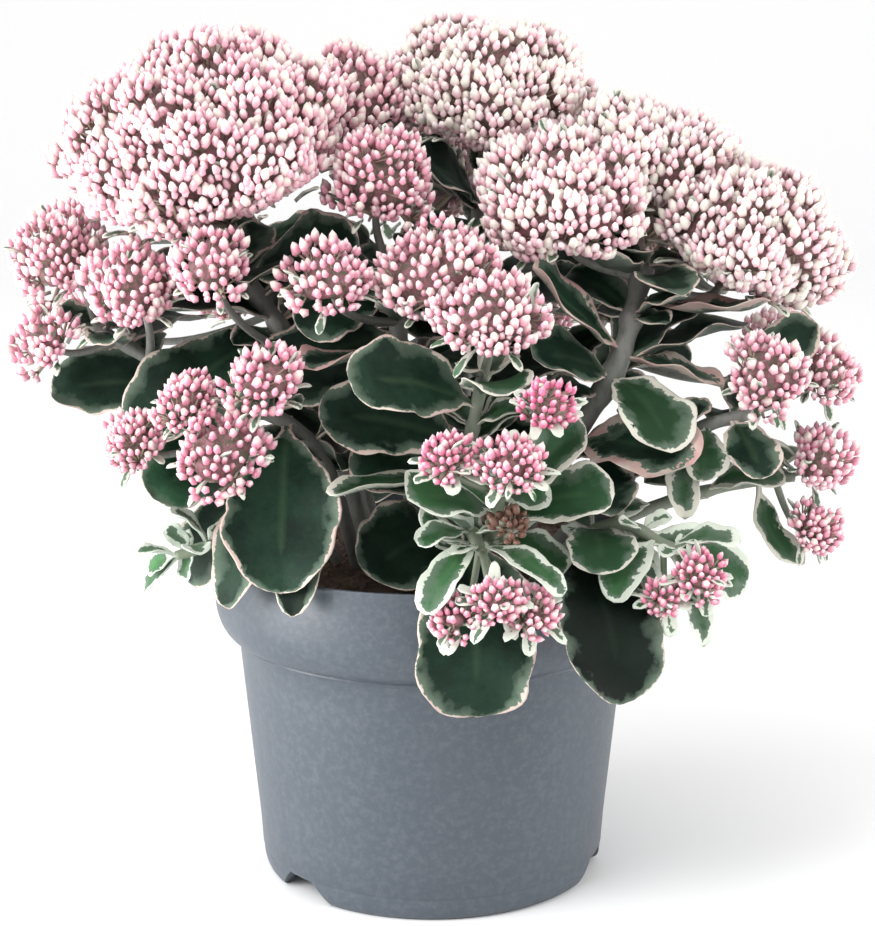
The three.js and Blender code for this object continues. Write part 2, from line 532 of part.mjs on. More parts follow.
// A leaf is tried as set, then turned, raised, pushed and shortened a little, until it stands clear.
function settle(leaf, placed, moves) {
  for (const { turn, raise, push, scale } of moves) {
    const heading = radians(leaf.heading + turn);
    const slope = radians(leaf.slope + raise);
    const level = leaf.length * Math.cos(slope);
    const reach = new THREE.Vector3(level * Math.cos(heading), level * Math.sin(heading) + push, 0);
    reach.z = leaf.length * Math.sin(slope);
    const trial = { ...leaf, tip: reach.multiplyScalar(scale).add(leaf.base), width: leaf.width * scale };
    const samples = bladeSamples(trial);
    if (!meetsFixed(trial, samples) && !meetsBlades(trial, samples, placed)) {
      placed.push({ ...trial, samples });
      return;
    }
  }
}

function placedLeaves() {
  const placed = [];
  for (const [on, at, heading, slope, length, width, lie] of setLeaves) {
    const [droop, face] = lies[lie];
    const base = pathOf(shoots[on]).getPoint(at);
    settle({ on, base, heading, slope, length, width, droop, face, detail: 'large' }, placed, setMoves);
  }
  for (const [on, rule] of Object.entries(pairRule)) {
    for (let k = 0; k < rule.count; k++) {
      const base = pathOf(shoots[on]).getPoint(rule.from + ((rule.to - rule.from) * k) / (rule.count - 1));
      for (const half of [0, 180]) {
        const share = 1 - pair.variety * Math.sin(pair.varietyStep * k + half);
        const heading = rule.turn + pair.quarter * k + half;
        const size = { length: rule.length * share, width: rule.width * share };
        const set = { slope: pair.slope, droop: pair.droop, face: pair.face, detail: 'middling' };
        settle({ on, base, heading, ...size, ...set }, placed, pairMoves);
      }
    }
  }
  return placed;
}
const leaves = placedLeaves();

// The pot's outline, from the middle of its base up the outside, over the lip and down inside.
function potProfile() {
  const p = pot;
  const ringInside = p.baseRadius - p.footRing;
  const ledgeRadius = p.shoulderRadius + p.ledge;
  const outline = [
    [0, 0], [p.bossRadius, 0], [p.bossRadius + p.bossSlope, p.floorBottom], [ringInside, p.floorBottom],
    [ringInside - p.footTaper, 0], [p.baseRadius, 0], [p.footLineRadius, p.footHeight],
    [p.shoulderRadius - p.ledge, p.bandBottom - p.ledgeDrop],
    [ledgeRadius, p.bandBottom - p.ledgeDrop + p.ledge], [ledgeRadius, p.bandBottom],
  ];
  for (let k = 1; k <= p.bandSteps; k++) {
    const a = (k / p.bandSteps) * (Math.PI / 2);
    const r = ledgeRadius + (p.rimRadius - ledgeRadius) * Math.sin(a);
    outline.push([r, p.bandBottom + (p.bandStraight - p.bandBottom) * (1 - Math.cos(a))]);
  }
  outline.push([p.rimRadius, p.height - p.lip], [p.rimRadius - p.rounding, p.height - p.rounding / 2]);
  outline.push([p.rimRadius - p.lip, p.height], [p.rimRadius - p.wall - p.rounding, p.height - p.rounding]);
  outline.push([p.rimRadius - p.wall, p.bandStraight]);
  outline.push([p.shoulderRadius - p.wall, p.bandBottom - p.ledgeDrop]);
  outline.push([p.footLineRadius - p.wall - p.floorCorner, p.floorTop], [0, p.floorTop]);
  return outline.map(([r, z]) => new THREE.Vector2(r, z));
}

// A lathed solid stands along Y in three.js, so it is turned to stand along Z.
function lathed(profile, sides) {
  return new THREE.LatheGeometry(profile, sides).rotateX(Math.PI / 2);
}

function potSolid() {
  let body = solidOf(lathed(potProfile(), pot.sides));
  const low = pot.baseRadius * radians(pot.notchHalfLow);
  const high = pot.baseRadius * radians(pot.notchHalfHigh);
  const [bottom, top] = [-pot.notchBelow, pot.notchHeight];
  const corners = [[-low, bottom], [low, bottom], [high, top], [-high, top]];
  const notch = new THREE.Shape(corners.map(([x, y]) => new THREE.Vector2(x, y)));
  for (let k = 0; k < pot.notches; k++) {
    const cutter = new THREE.ExtrudeGeometry(notch, { depth: pot.notchDepth, bevelEnabled: false });
    cutter.rotateX(Math.PI / 2).translate(0, pot.notchDepth / 2 - pot.baseRadius, 0);
    cutter.rotateZ(radians(pot.notchAt + (k * 360) / pot.notches));
    body = body.subtract(solidOf(cutter));
  }
  const through = pot.floorTop * 2;
  for (let k = 0; k < pot.drains; k++) {
    const a = (2 * Math.PI * (k + 0.5)) / pot.drains;
    const drain = new THREE.CylinderGeometry(pot.drainRadius, pot.drainRadius, through, pot.drainSides);
    drain.rotateX(Math.PI / 2).translate(pot.drainRing, 0, pot.floorTop).rotateZ(a);
    body = body.subtract(solidOf(drain));
  }
  return body;
}

// The pot's inside radius, less a small gap, at a height below the band.
function soilRadius(z) {
  const u = Math.min(1, (z - pot.footHeight) / (pot.bandBottom - pot.footHeight));
  const outside = THREE.MathUtils.lerp(pot.footLineRadius, pot.shoulderRadius, u);
  return outside - pot.wall - soil.wallGap;
}

// The hole that a stem stands in, which leans as the stem does.
function stemHole(shoot) {
  const [x, y] = shoot.path[0];
  const foot = new THREE.Vector3(x, y, soil.top - stem.sunk);
  const turned = new THREE.Quaternion().setFromUnitVectors(up, vector(shoot.path[1]).sub(foot).normalize());
  const [wide, narrow] = [shoot.r[0] + soil.holeTop, shoot.r[0] + soil.holeFoot];
  const hole = new THREE.CylinderGeometry(wide, narrow, soil.holeHeight, soil.holeSides).rotateX(Math.PI / 2);
  hole.translate(0, 0, soil.holeHeight / 2).applyQuaternion(turned);
  return hole.translate(foot.x, foot.y, foot.z - gap);
}

function soilSolid() {
  const profile = [[0, soil.bottom], [soilRadius(soil.bottom) - soil.footInset, soil.bottom]];
  profile.push([soilRadius(soil.bulkTop), soil.bulkTop]);
  profile.push([pot.shoulderRadius, pot.bandBottom + soil.bandTuck]);
  profile.push([pot.rimRadius - soil.rimGap, pot.bandStraight + soil.bandRise]);
  profile.push([pot.rimRadius - soil.edgeGap, soil.top - soil.edgeDrop]);
  soil.rings.forEach((r) => profile.push([r, soil.top]));
  profile.push([0, soil.top]);
  const geometry = lathed(profile.map(([r, z]) => new THREE.Vector2(r, z)), soil.sides);
  const p = geometry.attributes.position;
  for (let i = 0; i < p.count; i++) {
    if (p.getZ(i) < soil.top - soil.level) continue;
    const wave = Math.sin(p.getX(i) * soil.reliefAcross + soil.reliefStart);
    p.setZ(i, soil.top + soil.relief * wave * Math.cos(p.getY(i) * soil.reliefAlong));
  }
  let body = solidOf(geometry);
  for (const shoot of Object.values(shoots)) body = body.subtract(solidOf(stemHole(shoot)));
  return body;
}

function shootSolid(name) {
  const shoot = shoots[name];
  const steps = shoot.path.length > 3 ? stem.longSteps : stem.shortSteps;
  let body = stemSolid(pathOf(shoot), shoot.r[0], shoot.r[1], stem.sides, steps);
  for (const head of heads) {
    if (head.on !== name) continue;
    const thick = Math.min(shoot.r[1], stem.branchBase + head.r * stem.branchShare);
    const thin = thick * stem.branchTaper;
    body = body.add(stemSolid(branchPath(head), thick, thin, stem.branchSides, stem.branchSteps));
  }
  for (const leaf of leaves) {
    if (leaf.on === name) body = body.add(bladeSolid(leaf));
  }
  const [whole] = body.decompose().sort((a, b) => b.volume() - a.volume());
  return whole;
}

function headFinish(head) {
  if (head.name === 'headFaded') return finishes.faded;
  return head.r > paleFrom ? finishes.pale : finishes.pink;
}

const group = new THREE.Group();
group.add(meshOf(potSolid(), 'pot', finishes.pot));
group.add(meshOf(soilSolid(), 'soil', finishes.soil));
for (const name of Object.keys(shoots)) {
  group.add(meshOf(shootSolid(name), `shoot_${name}`, name === 'sprout' ? finishes.young : finishes.stem));
}
for (const head of heads) group.add(meshOf(headSolid(head), head.name, headFinish(head)));

export default group;
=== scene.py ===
import math
import random

import bpy
import numpy as np
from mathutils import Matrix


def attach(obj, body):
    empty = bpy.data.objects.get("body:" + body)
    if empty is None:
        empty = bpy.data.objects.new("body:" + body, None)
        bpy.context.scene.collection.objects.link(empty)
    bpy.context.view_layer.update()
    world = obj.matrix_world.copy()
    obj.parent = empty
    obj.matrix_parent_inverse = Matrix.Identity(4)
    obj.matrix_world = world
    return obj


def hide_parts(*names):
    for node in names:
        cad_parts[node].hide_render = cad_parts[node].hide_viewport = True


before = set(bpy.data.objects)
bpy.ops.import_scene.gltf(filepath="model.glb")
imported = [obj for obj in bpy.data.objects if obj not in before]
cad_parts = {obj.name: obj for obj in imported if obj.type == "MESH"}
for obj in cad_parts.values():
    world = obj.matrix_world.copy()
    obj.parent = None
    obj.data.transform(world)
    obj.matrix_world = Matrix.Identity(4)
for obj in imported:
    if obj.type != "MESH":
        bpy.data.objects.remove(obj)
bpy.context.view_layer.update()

mm = 0.001
rng = np.random.default_rng(7)
random.seed(7)

# The photo's view: a long lens, a little above the plant and looking slightly down.
view = {"lens": 77.6, "sensor": 36.0, "place": (0.0024, -0.850, 0.35304), "pitch": 0.2011}
print("camera")
cameraData = bpy.data.cameras.new("camera")
cameraData.lens = view["lens"]
cameraData.sensor_width = view["sensor"]
cameraData.clip_end = 500
camera = bpy.data.objects.new("camera", cameraData)
bpy.context.collection.objects.link(camera)
camera.location = view["place"]
camera.rotation_euler = (math.pi / 2 - view["pitch"], 0, 0)
bpy.context.scene.camera = camera
bpy.context.scene.view_settings.view_transform = "Standard"


# Mesh helpers. Everything is worked out in millimetres and scaled once, in pieceFrom.
def newBits():
    return {"verts": [], "faces": [], "slots": [], "count": 0, "marks": {}}


# Adds a form to a piece: its corners, its faces in runs of quads or triangles, the slot of its
# material, and marks, which are values at its corners that materials read.
def addBits(bits, verts, runs, slot=0, **marks):
    start = bits["count"]
    bits["verts"].append(verts)
    bits["count"] += len(verts)
    for faces in runs:
        bits["faces"] += (np.asarray(faces) + start).tolist()
        bits["slots"] += [slot] * len(faces)
    for name, values in marks.items():
        bits["marks"].setdefault(name, []).append((start, np.broadcast_to(values, len(verts))))


def addObject(name, data):
    made = bpy.data.objects.new(name, data)
    bpy.context.collection.objects.link(made)
    return made


def pieceFrom(name, bits, materials):
    mesh = bpy.data.meshes.new(name)
    mesh.from_pydata(np.concatenate(bits["verts"]) * mm, [], bits["faces"], shade_flat=False)
    mesh.polygons.foreach_set("material_index", bits["slots"])
    for mark, runs in bits["marks"].items():
        values = np.zeros(bits["count"], np.float32)
        for start, run in runs:
            values[start:start + len(run)] = run
        mesh.attributes.new(mark, "FLOAT", "POINT").data.foreach_set("value", values)
    for material in materials:
        mesh.materials.append(material)
    return addObject(name, mesh)


def standsFor(piece, node):
    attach(piece, "root")
    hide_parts(node)


def unit(v):
    v = np.asarray(v, float)
    return v / np.linalg.norm(v, axis=-1, keepdims=True)


# Unit vectors in a circle, from two that stand square to each other and to its axis.
def circleOf(side, other, sides):
    a = np.arange(sides)[:, None] * 2 * math.pi / sides
    return np.cos(a) * side[..., None, :] + np.sin(a) * other[..., None, :]


# Quads between rows of a grid whose rows close into rings.
def ringQuads(rows, sides):
    k = np.arange(sides)
    n = (k + 1) % sides
    ring = np.stack([k, n, n + sides, k + sides], 1)
    return np.concatenate([ring + i * sides for i in range(rows - 1)])


# Triangles from a ring to a point, facing up or down along the ring's axis.
def fan(first, sides, point, up=True):
    k = first + np.arange(sides)
    n = first + (np.arange(sides) + 1) % sides
    edge = (k, n) if up else (n, k)
    return np.stack([*edge, np.full(sides, point)], 1)


# The faces of rings closed by a point at each end. The low point and then the high one follow the rings.
def closedFaces(rows, sides):
    low = fan(0, sides, rows * sides, up=False)
    high = fan((rows - 1) * sides, sides, rows * sides + 1)
    return ringQuads(rows, sides), np.concatenate([low, high])


# A tube along points, with rounded closed ends.
def addTube(bits, points, radii, sides, slot, **marks):
    points = np.asarray(points, float)
    radii = np.broadcast_to(np.asarray(radii, float), (len(points),))
    along = unit(np.gradient(points, axis=0))
    side = np.cross(along[0], (0.31, 0.95, 0.1))  # a way that no tube here runs
    bulge = 0.4
    rings = []
    for p, d, r in zip(points, along, radii):
        side = unit(side - d * side.dot(d))
        rings.append(p + r * circleOf(side, np.cross(d, side), sides))
    ends = [points[:1] - along[0] * radii[0] * bulge, points[-1:] + along[-1] * radii[-1] * bulge]
    addBits(bits, np.concatenate(rings + ends), closedFaces(len(points), sides), slot, **marks)


# Material helpers.
def newMaterial(name):
    material = bpy.data.materials.new(name)
    material.use_nodes = True
    return material, material.node_tree, material.node_tree.nodes["Principled BSDF"]


# A number or a colour goes on the socket itself, and another node's output is linked to it.
def plug(tree, socket, value):
    if isinstance(value, tuple) and len(socket.default_value) > len(value):
        value = (*value, 1)
    if isinstance(value, (int, float, tuple)):
        socket.default_value = value
    else:
        tree.links.new(value, socket)


# Values go to the settings of a node and to its sockets, by name, with _ for a space.
def dress(tree, made, **values):
    for name, value in values.items():
        if hasattr(made, name):
            setattr(made, name, value)
        else:
            plug(tree, made.inputs[name.replace("_", " ")], value)


def node(tree, kind, **values):
    made = tree.nodes.new(kind)
    dress(tree, made, **values)
    return made


def mark(tree, name):
    return node(tree, "ShaderNodeAttribute", attribute_name=name).outputs["Fac"]


def sums(tree, operation, a, b=0.0, c=0.0, clamp=False):
    made = node(tree, "ShaderNodeMath", operation=operation, use_clamp=clamp)
    for socket, value in zip(made.inputs, (a, b, c)):
        plug(tree, socket, value)
    return made.outputs[0]


def times(tree, a, b, clamp=False):
    return sums(tree, "MULTIPLY", a, b, clamp=clamp)


# 1 below the low value, 0 above the high one, straight between.
def fall(tree, value, low, high):
    made = node(tree, "ShaderNodeMapRange", Value=value, From_Min=low, From_Max=high, To_Min=1.0, To_Max=0.0)
    return made.outputs[0]


def mixColour(tree, factor, a, b):
    made = node(tree, "ShaderNodeMix", data_type="RGBA")
    for socket, value in ((made.inputs["Factor"], factor), (made.inputs[6], a), (made.inputs[7], b)):
        plug(tree, socket, value)
    return made.outputs[2]


def noise(tree, scale, detail=3.0, rough=0.55, stretch=None):
    place = node(tree, "ShaderNodeTexCoord").outputs["Object"]
    if stretch:
        place = node(tree, "ShaderNodeMapping", Scale=stretch, Vector=place).outputs[0]
    made = node(tree, "ShaderNodeTexNoise", Scale=scale, Detail=detail, Roughness=rough, Vector=place)
    return made.outputs["Fac"]


def bump(tree, height, strength, distance):
    return node(tree, "ShaderNodeBump", Strength=strength, Distance=distance, Height=height).outputs[0]


# The pot: a tapered wall, a wide band at the rim with a rolled edge, and a foot ring with notches.
pot = {
    "rim": 95, "height": 146.4, "lip": 1.8, "wall": 1.7, "bandBottom": 107, "bandStraight": 125,
    "shoulder": 85.3, "foot": 10.2, "footLine": 75.5, "base": 72.4, "floorBottom": 9, "floorTop": 11,
    "boss": 15, "notchHeight": 9.6, "notches": 3, "notchAt": -48, "notchLow": 12.8, "notchHigh": 6.4,
    "notchDepth": 6, "drain": 5, "drainRing": 58, "drains": 8, "sides": 144, "sharp": 32,
    "colour": (0.050, 0.064, 0.081), "pale": (0.066, 0.081, 0.100), "dust": (0.34, 0.35, 0.36),
    "dustShare": 0.08, "roughness": 0.44, "roughRange": 0.16,
    "cloudScale": 9, "dustScale": 320, "streakScale": 40, "streakStretch": 0.06, "grainScale": 900,
}


def potMaterial():
    material, tree, shader = newMaterial("potPlastic")
    colour = mixColour(tree, noise(tree, pot["cloudScale"], 4), pot["colour"], pot["pale"])
    clean = fall(tree, noise(tree, pot["dustScale"], 5, 0.7), 0.45, 0.65)
    dusty = sums(tree, "MULTIPLY_ADD", clean, -pot["dustShare"], pot["dustShare"])
    streak = noise(tree, pot["streakScale"], 3, stretch=(1, 1, pot["streakStretch"]))
    shine = sums(tree, "MULTIPLY_ADD", streak, pot["roughRange"], pot["roughness"] - pot["roughRange"] / 2)
    dress(tree, shader, Base_Color=mixColour(tree, dusty, colour, pot["dust"]), Roughness=shine,
          Normal=bump(tree, noise(tree, pot["grainScale"], 2), 0.12, 0.0004))
    return material


# The section from the middle of the base out and up to the rim, and then down the inside.
def potOutline():
    line, shoulder, band = (pot[key] for key in ("footLine", "shoulder", "bandBottom"))
    rim, height, lip, wall, straight = (pot[key] for key in ("rim", "height", "lip", "wall", "bandStraight"))
    base, foot, boss, under, top = (pot[key] for key in ("base", "foot", "boss", "floorBottom", "floorTop"))
    ring = base - wall - 1
    outside = [(0, 0), (boss - 0.4, 0), (boss, 0.4), (boss + 2, under - 0.6), (boss + 2.8, under),
               (ring - 0.6, under), (ring - 0.4, 0.3), (ring, 0), (base - 0.5, 0), (base, 0.5)]
    for k in range(1, 6):  # the foot ring's round
        a = k * math.pi / 12
        outside.append((base + (line - base) * math.sin(a), 0.5 + (foot - 0.7) * (1 - math.cos(a))))
    outside += [(line - 0.15, foot - 0.2), (line + 0.35, foot + 0.5)]
    for k in range(1, 9):  # the tapered wall
        outside.append((line + (shoulder - 0.5 - line) * k / 8, foot + 1 + (band - 3.4 - foot) * k / 8))
    outside += [(shoulder - 0.2, band - 2.0), (shoulder + 0.5, band - 1.7),
                (shoulder + 0.9, band - 1), (shoulder + 0.6, band - 0.2)]
    for k in range(1, 11):  # the band's round
        a = k / 10 * math.pi / 2
        r = shoulder + 0.6 + (rim - shoulder - 0.6) * math.sin(a)
        outside.append((r, band + (straight - band) * (1 - math.cos(a))))
    outside += [(rim, height - lip - 1.6), (rim - 0.3, height - lip - 0.8)]
    for k in range(9):  # the rolled edge
        a = -0.5 + k / 8 * (math.pi + 0.4)
        outside.append((rim + lip / 2 * (math.cos(a) - 1), height + lip / 2 * (math.sin(a) - 1)))
    inside = [(rim - wall, height - 3), (rim - wall, straight), (shoulder - wall + 1.5, band + 1),
              (shoulder - wall, band - 3), (line - wall, foot + 3), (line - wall - 1.5, top), (0, top)]
    return outside + inside


def lathe(bits, outline, sides):
    a = np.arange(sides) * 2 * math.pi / sides
    rings = [np.stack([r * np.sin(a), -r * np.cos(a), np.full(sides, z)], 1) for r, z in outline[1:-1]]
    verts = np.concatenate(rings + [[(0, 0, outline[0][1])], [(0, 0, outline[-1][1])]])
    addBits(bits, verts, closedFaces(len(rings), sides))


def cutWith(piece, cutter):
    cut = piece.modifiers.new("cut", "BOOLEAN")
    cut.object = cutter
    cut.operation = "DIFFERENCE"
    cut.solver = "EXACT"
    shown = bpy.context.evaluated_depsgraph_get()
    mesh = bpy.data.meshes.new_from_object(piece.evaluated_get(shown))
    piece.modifiers.clear()
    old, piece.data = piece.data, mesh
    bpy.data.meshes.remove(old)
    bpy.data.objects.remove(cutter)


# Blocks that cut the notches in the foot ring, each wider at the bottom.
def addNotches(cuts):
    low, high = (pot["base"] * math.radians(pot[key]) for key in ("notchLow", "notchHigh"))
    top, deep = pot["notchHeight"], pot["notchDepth"]
    right = [(low + 0.8, -1), (low, 0.9), (high + 0.9, top - 1.3), (high - 0.6, top)]
    flat = right + [(-x, z) for x, z in reversed(right)]
    n = len(flat)
    caps = [(0, i + 1, i) for i in range(1, n - 1)] + [(n, n + i, n + i + 1) for i in range(1, n - 1)]
    for k in range(pot["notches"]):
        a = math.radians(pot["notchAt"] + k * 360 / pot["notches"])
        verts = np.array([(x, -pot["base"] + d, z) for d in (deep, -deep) for x, z in flat])
        turn = np.array([[math.cos(a), -math.sin(a), 0], [math.sin(a), math.cos(a), 0], [0, 0, 1]])
        addBits(cuts, verts @ turn.T, (ringQuads(2, n), caps))


def potPiece():
    print("pot")
    bits, cuts = newBits(), newBits()
    lathe(bits, potOutline(), pot["sides"])
    piece = pieceFrom("potBody", bits, [potMaterial()])
    addNotches(cuts)
    for k in range(pot["drains"]):
        a = 2 * math.pi * (k + 0.5) / pot["drains"]
        x, y = math.cos(a) * pot["drainRing"], math.sin(a) * pot["drainRing"]
        addTube(cuts, [(x, y, pot["floorTop"] + 6 - 3 * i) for i in range(5)], pot["drain"], 16, 0)
    cutWith(piece, pieceFrom("cutter", cuts, []))
    piece.data.polygons.foreach_set("use_smooth", [True] * len(piece.data.polygons))
    piece.data.set_sharp_from_angle(angle=math.radians(pot["sharp"]))
    standsFor(piece, "pot")


# The potting soil: a rough surface with loose grains on it.
soil = {
    "top": 137, "relief": 1.6, "across": 0.21, "along": 0.17, "start": 1, "bottom": 12, "step": 1.7,
    "sides": 230, "rough": 0.5, "shift": 0.25, "edgeGap": 3.2, "edgeCalm": 5, "lastRing": 2,
    "grains": 1500, "grainSize": (0.7, 2.1), "grainOut": 0.25, "grainEdge": 6,
    "dark": (0.045, 0.026, 0.019), "light": (0.22, 0.125, 0.092), "pale": (0.42, 0.29, 0.23),
    "grainScale": 420, "dampScale": 60, "roughness": 0.95,
}


def soilMaterial():
    material, tree, shader = newMaterial("pottingSoil")
    grain = noise(tree, soil["grainScale"], 6, 0.75)
    shade = sums(tree, "MULTIPLY_ADD", mark(tree, "tone"), 0.35, times(tree, grain, 0.8))
    colour = mixColour(tree, fall(tree, shade, 0.3, 0.62), soil["light"], soil["dark"])
    colour = mixColour(tree, fall(tree, shade, 0.9, 0.7), soil["pale"], colour)
    colour = mixColour(tree, noise(tree, soil["dampScale"], 3), colour, soil["dark"])
    dress(tree, shader, Base_Color=colour, Roughness=soil["roughness"],
          Normal=bump(tree, grain, 0.8, 0.0012))
    return material


def soilHeight(x, y):
    wave = np.sin(x * soil["across"] + soil["start"]) * np.cos(y * soil["along"])
    return soil["top"] + soil["relief"] * wave


# A turned block that follows the pot's inside, with its top roughened, least at the edge.
def addSoilBody(bits):
    p, edge = pot, pot["rim"] - soil["edgeGap"]
    wallAt = [(p["footLine"] - p["wall"] - 2.8, soil["bottom"]), (p["shoulder"] - p["wall"] - 2.5, 100),
              (p["shoulder"], p["bandBottom"] + 9), (p["rim"] - 4.4, p["bandStraight"] + 2),
              (edge, soil["top"] - 3)]
    radii = np.arange(edge, soil["lastRing"], -soil["step"])
    outline = [(0, soil["bottom"])] + wallAt + [(r, soil["top"]) for r in radii] + [(0, soil["top"])]
    lathe(bits, outline, soil["sides"])
    verts = bits["verts"][0]
    top = verts[:, 2] > soil["top"] - 0.1
    x, y = verts[top, 0], verts[top, 1]
    away = np.clip((edge - np.hypot(x, y)) / soil["edgeCalm"], 0, 1)
    verts[top, 2] = soilHeight(x, y) + rng.normal(0, soil["rough"], top.sum()) * (0.4 + away)
    verts[top, :2] += rng.normal(0, soil["shift"], (top.sum(), 2)) * away[:, None]
    bits["marks"]["tone"] = [(0, rng.uniform(0, 1, len(verts)))]


# A loose grain is an eight-sided lump, pulled out of shape and turned any way.
def addGrain(bits):
    corners = np.array([(1, 0, 0), (0, 1, 0), (-1, 0, 0), (0, -1, 0), (0, 0, 1), (0, 0, -1)], float)
    faces = [(0, 1, 4), (1, 2, 4), (2, 3, 4), (3, 0, 4), (1, 0, 5), (2, 1, 5), (3, 2, 5), (0, 3, 5)]
    r = (pot["rim"] - soil["grainEdge"]) * math.sqrt(random.random())
    a = random.uniform(0, 2 * math.pi)
    x, y = r * math.cos(a), r * math.sin(a)
    size = random.uniform(*soil["grainSize"])
    shape = corners * size * rng.uniform(0.5, 1.1, (6, 3)) @ np.linalg.qr(rng.normal(size=(3, 3)))[0]
    if np.linalg.det(shape[[0, 1, 4]] - shape[[2, 3, 5]]) < 0:
        shape = -shape  # it came out with its inside out
    place = (x, y, soilHeight(x, y) + size * soil["grainOut"])
    addBits(bits, shape + place, [faces], tone=random.random())


def soilPiece():
    print("soil")
    bits = newBits()
    addSoilBody(bits)
    for _ in range(soil["grains"]):
        addGrain(bits)
    standsFor(pieceFrom("soilFill", bits, [soilMaterial()]), "soil")


# Each shoot: its path from the soil up, and its radius at the foot and the top.
shoots = {
    "leftTall": ([[-24, 2], [-42, 0, 195], [-66, 0, 240], [-82, 2, 262]], 4.2, 3.2),
    "farLeft": ([[-36, -2], [-70, -4, 178], [-112, -8, 220], [-142, -10, 240]], 3.6, 2.4),
    "lowLeft": ([[-28, -14], [-46, -32, 188], [-66, -50, 210], [-82, -60, 206]], 3.2, 2.2),
    "middle": ([[-6, -8], [-10, -12, 195], [-14, -14, 240], [-17, -15, 264]], 4, 2.8),
    "back": ([[6, 14], [14, 28, 210], [20, 44, 270], [23, 50, 292]], 4.2, 3),
    "rightTall": ([[26, 0], [58, -18, 190], [78, -26, 229], [89, -12, 266]], 4.6, 3.6),
    "farRight": ([[36, -10], [78, -26, 178], [108, -34, 200], [130, -38, 208]], 3.4, 2.2),
    "lowRight": ([[34, -20], [76, -40, 162], [118, -36, 176], [152, -28, 180]], 3.2, 2),
    "front": ([[8, -16], [14, -40, 185], [20, -64, 226]], 3.2, 2.2),
    "frontSmall": ([[14, -26], [22, -68, 160], [28, -100, 194]], 3, 2),
    "rim": ([[8, -36], [14, -72, 166], [20, -98, 164]], 2.8, 1.8),
    "rimRight": ([[34, -30], [70, -60, 166], [98, -78, 160]], 2.8, 1.8),
    "sprout": ([[-44, -26], [-78, -50, 156], [-104, -62, 154]], 2.2, 1.4),
    "backLeft": ([[-20, 22], [-46, 42, 200], [-74, 62, 246], [-86, 67, 262]], 4.2, 3),
    "backMid": ([[0, 30], [-3, 62, 200], [-5, 92, 240], [-6, 101, 254]], 4, 3),
    "backRight": ([[24, 24], [50, 50, 195], [78, 76, 234], [88, 83, 246]], 4.2, 3),
    "backLow": ([[8, 42], [24, 84, 170], [40, 124, 200], [46, 138, 208]], 3.4, 2.2),
}

